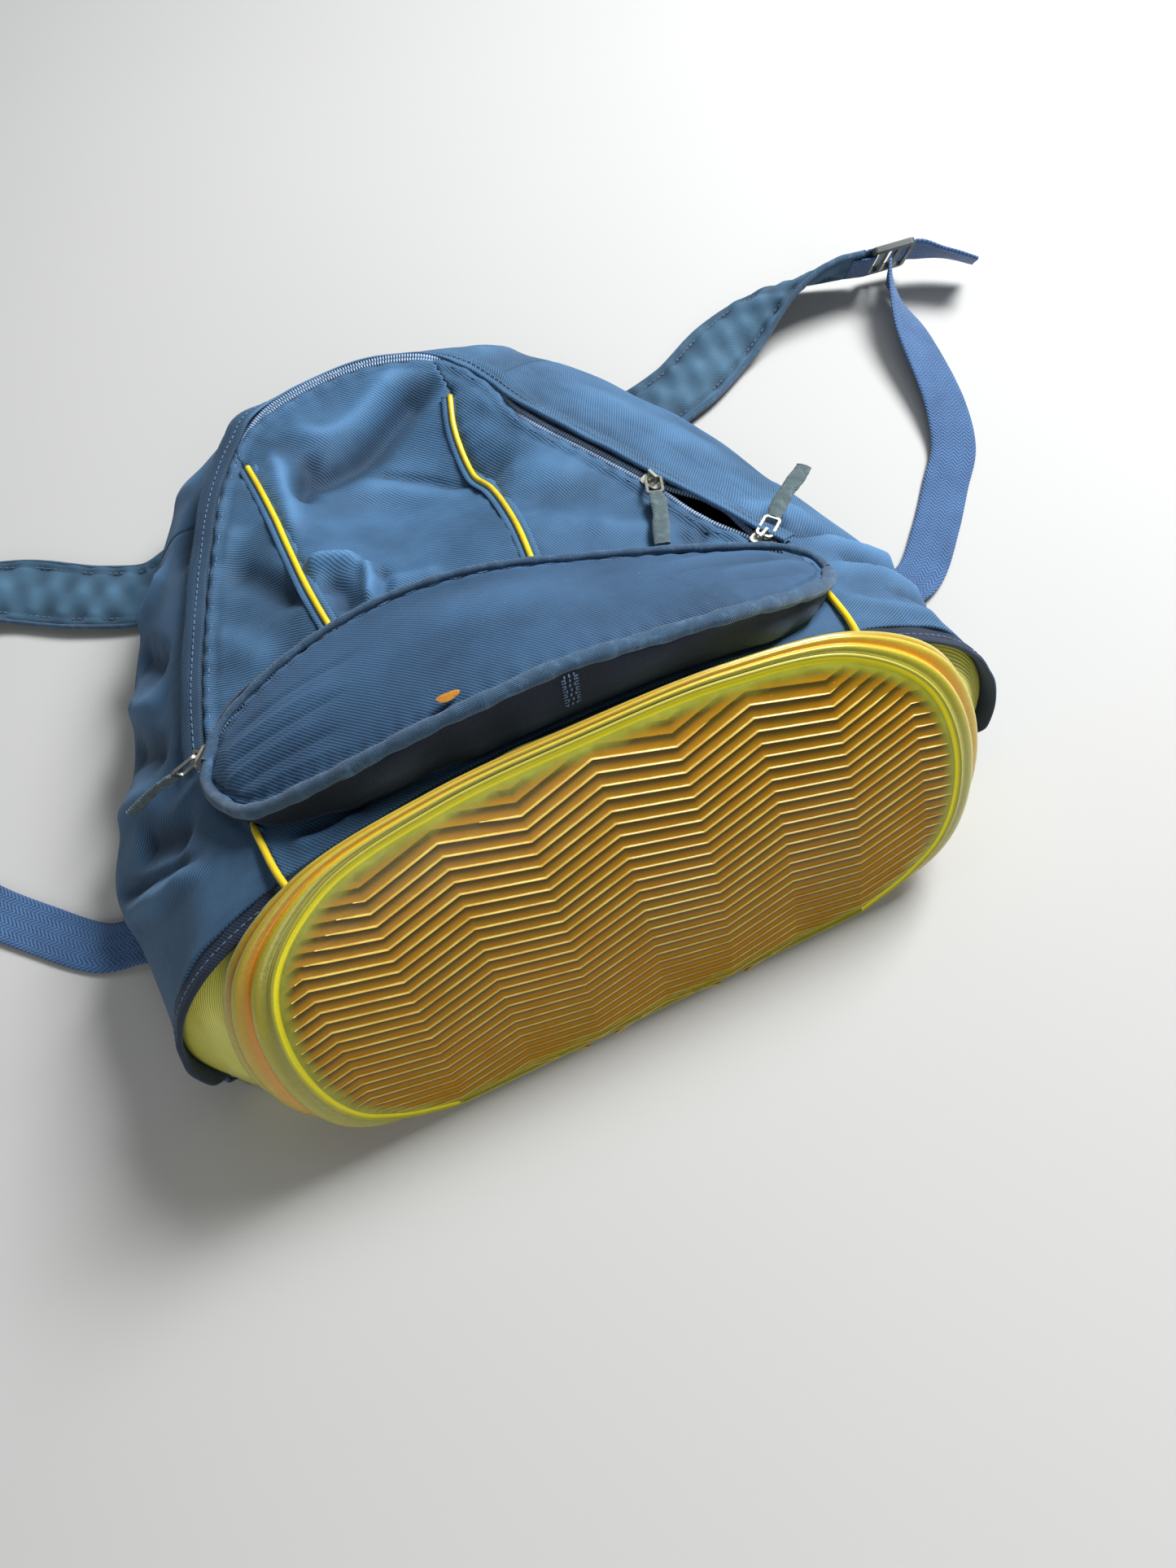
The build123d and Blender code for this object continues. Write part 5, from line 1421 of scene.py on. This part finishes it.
def make_ribs():
    """Sharp zigzag ridges of the tread, each tapering out at its two ends."""
    outline = lip_outline(ring(RIM_POINTS, RIM_TOP, 300, 60))
    heap = Heap()
    sides = len(RIB_SHAPE)
    rows = int(RIM_TOP / RIB_PITCH) + 1
    for row in range(-rows, rows + 1):
        x = np.unique(np.concatenate([np.arange(-160, 160.1, 2.0), np.arange(-4, 5) * KINK_PITCH]))
        line = np.column_stack([x, row * RIB_PITCH + zigzag(x)])
        margin = 4.5 + 8.5 * step(line[:, 1], 0, 62)
        inside = inside_outline(line, outline) & (edge_gap(line, outline) > margin)
        if inside.sum() < 6:
            continue
        line = line[np.flatnonzero(inside)[0]:np.flatnonzero(inside)[-1] + 1]
        taper = step(np.minimum(line[:, 0] - line[0, 0], line[-1, 0] - line[:, 0]), -0.5, 9)
        points = []
        for shape_v, shape_h in RIB_SHAPE:
            v = line[:, 1] + shape_v * (0.35 + 0.65 * taper)
            h = drum_height(v) + shape_h * (0.25 + 0.75 * taper)
            points.append(on_rim(np.column_stack([line[:, 0], v]), h))
        grid = np.stack(points, 1)
        faces = grid_faces(len(line), sides, wrap_cols=True)
        last = len(line) * sides - 1
        faces += [list(range(sides)), list(range(last, last - sides, -1))]
        heap.add(grid.reshape(-1, 3), faces, np.repeat(line, sides, 0))
    heap.piece("tread_ridges", RIB_RUBBER, replaces=["tread_ribs"], slot="amber_rubber")


# ---- sliders and pulls ----
def dress_metal():
    for node in ("main_slider_upper", "main_slider_lower", "pocket_slider", "main_pull_upper_link",
                 "main_pull_lower_link", "pocket_pull_link"):
        cover(node, NICKEL, 0.22)


def cover(node, material, bevel=0.0):
    """A CAD node keeps its shape and takes a better material and softened edges."""
    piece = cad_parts[node]
    piece.data.materials.clear()
    piece.data.materials.append(material)
    if bevel:
        edge = piece.modifiers.new("bevel", "BEVEL")
        edge.width = bevel / 1000
        edge.segments = 2
        edge.limit_method = "ANGLE"


def node_axes(node):
    """Middle of a node's box, its long, wide and thin directions, and its half sizes."""
    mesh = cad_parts[node].data
    p = np.array([v.co for v in mesh.vertices]) * 1000 + [0, REST_Y, 0]
    middle = p.mean(0)
    axes = np.linalg.eigh(np.cov((p - middle).T))[1].T[::-1]
    spans = [(((p - middle) @ a).min(), ((p - middle) @ a).max()) for a in axes]
    centre = middle + sum(a * (s[0] + s[1]) / 2 for a, s in zip(axes, spans))
    return centre, axes, [(s[1] - s[0]) / 2 for s in spans]


def make_pull_ribbon(node, name, body, droop):
    """Doubled, worn ribbon through the link's eye."""
    centre, axes, half = node_axes(node)
    along, across = axes[0], axes[1]
    link = node_axes(node.replace("_ribbon", "_link"))[0]
    if (link - centre) @ along > 0:
        along = -along
    up = np.cross(along, across)
    if up[2] < 0:
        across, up = -across, -up
    n = 46
    t = np.linspace(0, 1, n)
    line = centre + along * ((t - 0.5) * 2 * half[0])[:, None]
    line = line + up * (droop * np.sin(t * math.pi * 1.1) * 1.0)[:, None]
    line = line + across * (0.7 * np.sin(t * 5.0))[:, None]
    width = 2 * half[1] * (0.96 + 0.05 * np.sin(t * 11))
    width = width * (1 - 0.22 * np.exp(-(t / 0.07) ** 2))
    shape = slab(1.0, 1.0, cuts=9)
    profile = shape[None] * np.stack([width, np.full(n, 2 * half[2] * 1.15)], 1)[:, None, :]
    swell = 1 + 0.18 * np.sin(t * 36) * 0.4 + 0.25 * np.exp(-((t - 0.04) / 0.05) ** 2)
    profile[:, :, 1] *= swell[:, None]
    points, faces, weave = sweep(line, np.tile(across, (n, 1)), np.tile(up, (n, 1)), profile)
    out = normals_of(points, faces)
    points = points + out * (ripples(points, 3.5, 6, 5) * 0.12)[:, None]
    build(name, points, faces, RIBBON, body=body, weave=weave, replaces=[node], slot="pull_ribbon")


# ---- straps ----
STRAPS = {
    "right": {
        "root": [(30, 398, 4.4), (88, 364, 4.4), (136, 343, 4.6), (180, 350.5, 5)],
        "cut": (-0.25, 0.968, 0),
        "hinge": (206, 257.5, 6.5),
        "pad": [((182, 351, 5), (-0.25, 0.968, 0), 43), ((222, 371, 6.4), (-0.42, 0.9, 0), 43),
                ((262, 385, 13.6), (-0.1, 0.88, -0.45), 42), ((298, 383, 20.4), (0.1, 0.6, -0.8), 38),
                ((321, 378, 21.5), (0.15, 0.48, -0.866), 31)],
        "buckle": ((339, 374.5, 21.5), (0.98, -0.19, 0.06), (0.15, 0.48, -0.866)),
        "tail": [((341, 373.5, 22.6), (0.15, 0.48, -0.866)), ((349, 371, 24.3), (0.15, 0.48, -0.866)),
                 ((356, 368, 25), (0.15, 0.48, -0.866)), ((368, 360, 23), (0.3, 0.6, -0.74)),
                 ((384, 346, 20), (0.35, 0.65, -0.68))],
        "anchor": [(192, 152, 7.4), (211, 157, 5.4), (228, 163.5, 2.2)],
        "webbing": [((230, 164, 2.2), (-0.25, 0.968, 0)), ((256, 188, 1.4), (-0.68, 0.73, 0)),
                    ((278, 212, 1.8), (-0.8, 0.6, 0)), ((296, 232, 4), (-0.93, 0.36, 0)),
                    ((309, 262, 8), (-0.96, 0.25, 0.15)), ((322, 318, 13), (-0.85, 0.25, 0.45)),
                    ((331, 352, 16), (-0.45, -0.1, 0.85)), ((335, 366, 18.5), (-0.2, -0.4, 0.88))],
    },
    "left": {
        "root": [(-70, 398, 4.4), (-120, 366, 4.4), (-150, 356, 4.6), (-181, 368.6, 5)],
        "cut": (0.197, 0.98, 0),
        "hinge": (-205, 262, 6.5),
        "pad": [((-183, 369, 5), (0.197, 0.98, 0), 43), ((-222, 394, 6.4), (0.45, 0.89, 0), 43),
                ((-262, 409, 13.6), (0.1, 0.88, -0.45), 42),
                ((-298, 405, 20.4), (-0.1, 0.6, -0.8), 38),
                ((-321, 398, 21.5), (-0.15, 0.48, -0.866), 31)],
        "buckle": ((-338.5, 392, 21.5), (-0.96, -0.26, 0.06), (-0.15, 0.48, -0.866)),
        "tail": [((-341, 391, 22.6), (-0.15, 0.48, -0.866)), ((-348, 388, 24.3), (-0.15, 0.48, -0.866)),
                 ((-355, 384, 25), (-0.15, 0.48, -0.866)), ((-366, 375, 23), (-0.3, 0.6, -0.74)),
                 ((-378, 359, 20), (-0.35, 0.65, -0.68))],
        "anchor": [(-192, 143, 7.4), (-209, 149, 5.4), (-225, 154.6, 2.2)],
        "webbing": [((-227, 155, 2.2), (0.197, 0.98, 0)), ((-254, 180, 1.4), (0.68, 0.73, 0)),
                    ((-277, 205, 1.8), (0.8, 0.6, 0)), ((-294, 231, 3), (0.93, 0.36, 0)),
                    ((-308, 268, 6), (0.96, 0.25, 0.15)), ((-321, 332, 12), (0.85, 0.25, 0.45)),
                    ((-330, 369, 16), (0.45, -0.1, 0.85)), ((-335, 384, 18.5), (0.2, -0.4, 0.88))],
    },
}
WEB_W, WEB_T = 25.0, 1.8


def strap_line(rows, count):
    """Smooth centre line, width direction and width of a strap."""
    table = np.array([[*centre, *unit(across), width] for centre, across, width in rows])
    line = smooth(table, count)
    ahead = tangents(line[:, :3])
    across = line[:, 3:6] - ahead * (line[:, 3:6] * ahead).sum(1)[:, None]
    across = unit(across)
    return line[:, :3], across, np.cross(ahead, across), line[:, 6]


def web_strip(name, rows, body, replaces, material=WEBBING, width=WEB_W, thick=WEB_T, count=150):
    line, across, up, _ = strap_line([(c, a, width) for c, a in rows], count)
    profile = slab(width, thick, cuts=15)
    t = np.linspace(0, 1, count)
    curl = 0.5 * np.sin(t * 9 + 1)
    shaped = np.broadcast_to(profile, (count,) + profile.shape).copy()
    shaped[:, :, 1] += curl[:, None] * (profile[None, :, 0] / (width / 2)) ** 2 * 0.7
    points, faces, weave = sweep(line, across, up, shaped)
    return build(name, points, faces, material, body=body, weave=weave, replaces=replaces,
                 slot="blue_webbing")


def make_padded(name, rows, replaces, seed):
    count, around = 260, 23
    line, across, up, width = strap_line(rows, count)
    t = np.linspace(0, 1, count)
    run = lengths(line)
    a = np.linspace(-1, 1, around)
    top = 4.3 * np.sqrt(np.clip(1 - (a / 0.74) ** 2, 0, 1)) ** 0.8
    rim = 1.9 * np.exp(-((np.abs(a) - 0.9) / 0.1) ** 2)
    half_height = np.maximum(top, 0.9) + rim
    half_height[0] = half_height[-1] = 0.9
    upper = np.stack([a, half_height], 1)
    lower = np.stack([a[::-1][1:-1], -half_height[::-1][1:-1] * 0.85], 1)
    shape = np.vstack([upper, lower])
    profile = np.broadcast_to(shape, (count,) + shape.shape).copy()
    profile[:, :, 0] *= (width / 2)[:, None]
    inside = np.clip(1 - np.abs(shape[:, 0]) / 0.8, 0, 1)
    pucker = np.sin(run[:, None] / 4.2 + shape[None, :, 0] * 3 + seed + 2 * np.sin(run[:, None] / 21))
    pucker += 0.8 * np.sin(run[:, None] / 2.6 - shape[None, :, 0] * 5 + seed * 2)
    near_seam = np.exp(-((np.abs(shape[:, 0]) - 0.72) / 0.2) ** 2)
    profile[:, :, 1] += 1.15 * pucker * (near_seam * 0.8 + inside * 0.6) * np.sign(shape[:, 1])
    slim = 1 - 0.35 * step(t, 0.82, 1.0)
    profile[:, :, 1] *= slim[:, None]
    points, faces, weave = sweep(line, across, up, profile)
    # Painted light and shade: pucker crests and the crowned middle lighter, hollows and the sewn lines
    # darker.
    wear_and_shading = 0.3 * pucker * (near_seam + inside) + 0.35 * inside
    wear_and_shading = wear_and_shading - 0.7 * np.exp(-((np.abs(shape[None, :, 0]) - 0.76) / 0.06) ** 2)
    points[:, 2] = np.maximum(points[:, 2], 0.3)
    pad = build(name, points, faces, PADDED, body=None, weave=weave, replaces=replaces,
                slot="padded_navy", marks={"wear_and_shading": wear_and_shading.ravel()})
    pieces = [pad]
    heap = Heap()
    for side in (-1, 1):
        for face in (1, -1):
            seam = line + across * (side * 0.76 * width / 2)[:, None]
            seam = seam + up * (face * (1.5 if face > 0 else 1.2) * slim)[:, None]
            seam[:, 2] = np.maximum(seam[:, 2], 0.5)
            stitches(heap, seam[3:-3], (up * face)[3:-3])
    pieces.append(heap.piece(name + "_stitches", THREAD, body=None, slot="padded_navy"))
    heap = Heap()
    for side in (-1, 1):
        edge = line + across * (side * 0.985 * width / 2)[:, None]
        lip = np.stack([np.cos(np.arange(10) * 0.6283) * 1.25, np.sin(np.arange(10) * 0.6283) * 1.75], 1)
        bound, bound_faces, bound_weave = sweep(edge, across, up, lip)
        bound[:, 2] = np.maximum(bound[:, 2], 0.2)
        heap.add(bound, bound_faces, bound_weave)
    pieces.append(heap.piece(name + "_binding", BINDING, body=None, slot="padded_navy"))
    return pieces


def flat_rows(points, cut, width):
    rows = []
    for k, point in enumerate(points):
        before = np.array(points[max(k - 1, 0)], float)
        after = np.array(points[min(k + 1, len(points) - 1)], float)
        ahead = after - before
        across = cut if k == len(points) - 1 else (-ahead[1], ahead[0], 0)
        rows.append((point, across, width))
    return rows


def make_straps():
    for seed, (side, strap) in enumerate(STRAPS.items()):
        body, buckle = f"{side}_strap", f"{side}_buckle"
        cut = np.array(strap["cut"], float)
        root = aligned(flat_rows(strap["root"], cut, 43.0)[:-1], cut)
        pieces = make_padded(f"strap_cloth_{side}", root + strap["pad"],
                             [f"strap_root_{side}", f"strap_pad_{side}"], seed)
        anchor = [(c, a) for c, a, _ in aligned(flat_rows(strap["anchor"], cut, WEB_W)[:-1], cut)]
        pieces.append(web_strip(f"web_{side}", anchor + strap["webbing"], None,
                                [f"webbing_anchor_{side}", f"webbing_{side}"], count=230))
        hinge = np.array(strap["hinge"], float)
        out = unit(np.array([cut[1], -cut[0], 0]) * (1 if side == "right" else -1))
        start, end = metres(hinge - out * 11)[0:3], metres(hinge + out * 11)[0:3]
        for piece in pieces:
            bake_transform(piece)
        web_strip(f"web_tail_{side}", strap["tail"], buckle, [f"webbing_tail_{side}"], count=60)
        make_loop(side, strap, body)
        cover(f"ladder_lock_{side}", DARK_PLASTIC, 0.4)


def aligned(rows, cut):
    """The same rows with every width direction on the same side as the cut's."""
    turned = []
    for centre, across, width in rows:
        across = np.array(across, float)
        turned.append((centre, tuple(across * (1 if across[:2] @ cut[:2] > 0 else -1)), width))
    return turned


def make_loop(side, strap, body):
    """Webbing folded round the buckle's first bar and sewn into the pad's end."""
    centre, ahead, across = (np.array(v, float) for v in strap["buckle"])
    ahead, across = unit(ahead), unit(across)
    across = unit(across - ahead * (across @ ahead))
    up = np.cross(ahead, across)
    bar = centre - ahead * 12.6
    angles = np.linspace(-math.pi / 2, math.pi / 2, 12)
    path = [(-13, 1.1), (-7, 1.9), (-2.5, 2.6)]
    path += [(math.cos(a) * 2.7, -math.sin(a) * 2.7) for a in angles]
    path += [(-2.5, -2.6), (-7, -1.9), (-13, -1.1)]
    line = np.array([bar + ahead * x + up * y for x, y in path])
    line = smooth(line, 60)
    tangent = tangents(line)
    wide = np.tile(across, (60, 1))
    points, faces, weave = sweep(line, wide, np.cross(tangent, wide), slab(WEB_W, 1.2, cuts=9))
    build(f"web_loop_{side}", points, faces, WEBBING, body=body, weave=weave,
          replaces=[f"buckle_loop_{side}"], slot="blue_webbing")


def make_haul_loop():
    middle = np.array([-20.0, 443.0, 5.0])
    rows = []
    for angle in np.linspace(0, math.pi, 15):
        out = (math.cos(angle), math.sin(angle), 0)
        rows.append((middle + [22 * out[0], 17 * out[1], 0], out))
    web_strip("haul_webbing", rows, "haul_loop", ["haul_loop"], material=WEBBING_PALE, width=11, thick=2.6,
              count=80)
    heap = Heap()
    for sign in (-1, 1):
        line = np.linspace([-20 + sign * 22, 414, 5.0], [-20 + sign * 22, 440.5, 5.0], 30)
        across = np.tile([1.0, 0, 0], (30, 1))
        points, faces, weave = sweep(line, across, np.tile(UP, (30, 1)), slab(11.6, 2.8, cuts=9))
        heap.add(points, faces, weave)
    heap.piece("haul_tabs", WEBBING_PALE, replaces=["haul_loop_tabs"], slot="blue_webbing")


# ---- back ----
def make_back(columns):
    foot = columns[:, -1][::2]
    outline = foot[:, :2]
    xy, tri = fill_outline(outline[::-1], 6.0)
    gap = edge_gap(xy, outline)
    z = 11.6 - 0.9 * step(gap, 0, 14) + ripples(np.column_stack([xy, xy[:, 0] * 0]), 60, 5, 41) * 0.5
    points = np.column_stack([xy, np.clip(z, 9.6, 12.2)])
    faces = tri
    if normals_of(points, faces)[:, 2].mean() > 0:
        faces = faces[:, ::-1]
    build("back_cloth", points, faces, NAVY_SHADE, weave=xy, marks={"wear_and_shading": np.zeros(len(xy))},
          replaces=["back_panel"], slot="navy_twill", thickness=1.4)

    # padded back: crowned, with sewn channels
    xs, ys = np.linspace(-85, 85, 69), np.linspace(97, 327, 93)
    grid_x, grid_y = np.meshgrid(xs, ys, indexing="ij")
    corner = np.maximum(np.abs(grid_x) - 63, 0) ** 2 + np.maximum(np.abs(grid_y - 212) - 93, 0) ** 2
    squeeze = np.minimum(1.0, 22 / np.maximum(np.sqrt(corner), 1e-6))
    grid_x = np.sign(grid_x) * (np.minimum(np.abs(grid_x), 63) + np.maximum(np.abs(grid_x) - 63, 0) * squeeze)
    grid_y = 212 + np.sign(grid_y - 212) * (np.minimum(np.abs(grid_y - 212), 93)
                                            + np.maximum(np.abs(grid_y - 212) - 93, 0) * squeeze)
    edge = np.minimum(85 - np.abs(xs)[:, None], 115 - np.abs(ys - 212)[None, :])
    puff = np.sqrt(np.clip(edge / 16, 0, 1) * (2 - np.clip(edge / 16, 0, 1)))
    channels = 1 - 0.35 * np.exp(-((np.mod(grid_y - 97, 38) - 19) / 3.0) ** 2) * step(edge, 8, 16)
    low = 9.2 - 9.1 * puff * channels
    flat = np.stack([grid_x, grid_y, low], 2).reshape(-1, 3)
    points = np.vstack([flat, flat * [1, 1, 0] + [0, 0, 9.8]])
    n, m = low.shape
    faces = grid_faces(n, m)
    size = n * m
    top = [[i + size for i in f[::-1]] for f in faces]
    rim = ([i * m for i in range(n)] + [(n - 1) * m + j for j in range(1, m)]
           + [i * m + m - 1 for i in range(n - 2, -1, -1)] + [j for j in range(m - 2, 0, -1)])
    side = [[rim[k], rim[k - 1], rim[k - 1] + size, rim[k] + size] for k in range(len(rim))]
    pad = build("back_cushion", points, faces + top + side, PADDED, weave=points[:, :2],
                marks={"wear_and_shading": 0.0}, replaces=["back_pad"], slot="padded_navy")


make_camera()
make_stage()
lay_on_front = make_front()
make_pipings(lay_on_front)
side_columns = make_sides()
make_zip_ends(side_columns, len(ZIP_PATH) + 4)
pocket_low, pocket_high = make_pocket(lay_on_front)
make_pocket_trim(pocket_low, pocket_high)
make_pocket_zip()
make_main_zip(lay_on_front)
make_cup()
make_ribs()
dress_metal()
make_pull_ribbon("main_pull_upper_ribbon", "upper_ribbon", "upper_pull", 0.8)
make_pull_ribbon("main_pull_lower_ribbon", "lower_ribbon", "lower_pull", 0.5)
make_pull_ribbon("pocket_pull_ribbon", "pocket_ribbon", "pocket_pull", 0.6)
make_straps()
make_haul_loop()
make_back(side_columns)
cover("base_insert", INSERT)
cover("base_board", BOARD)
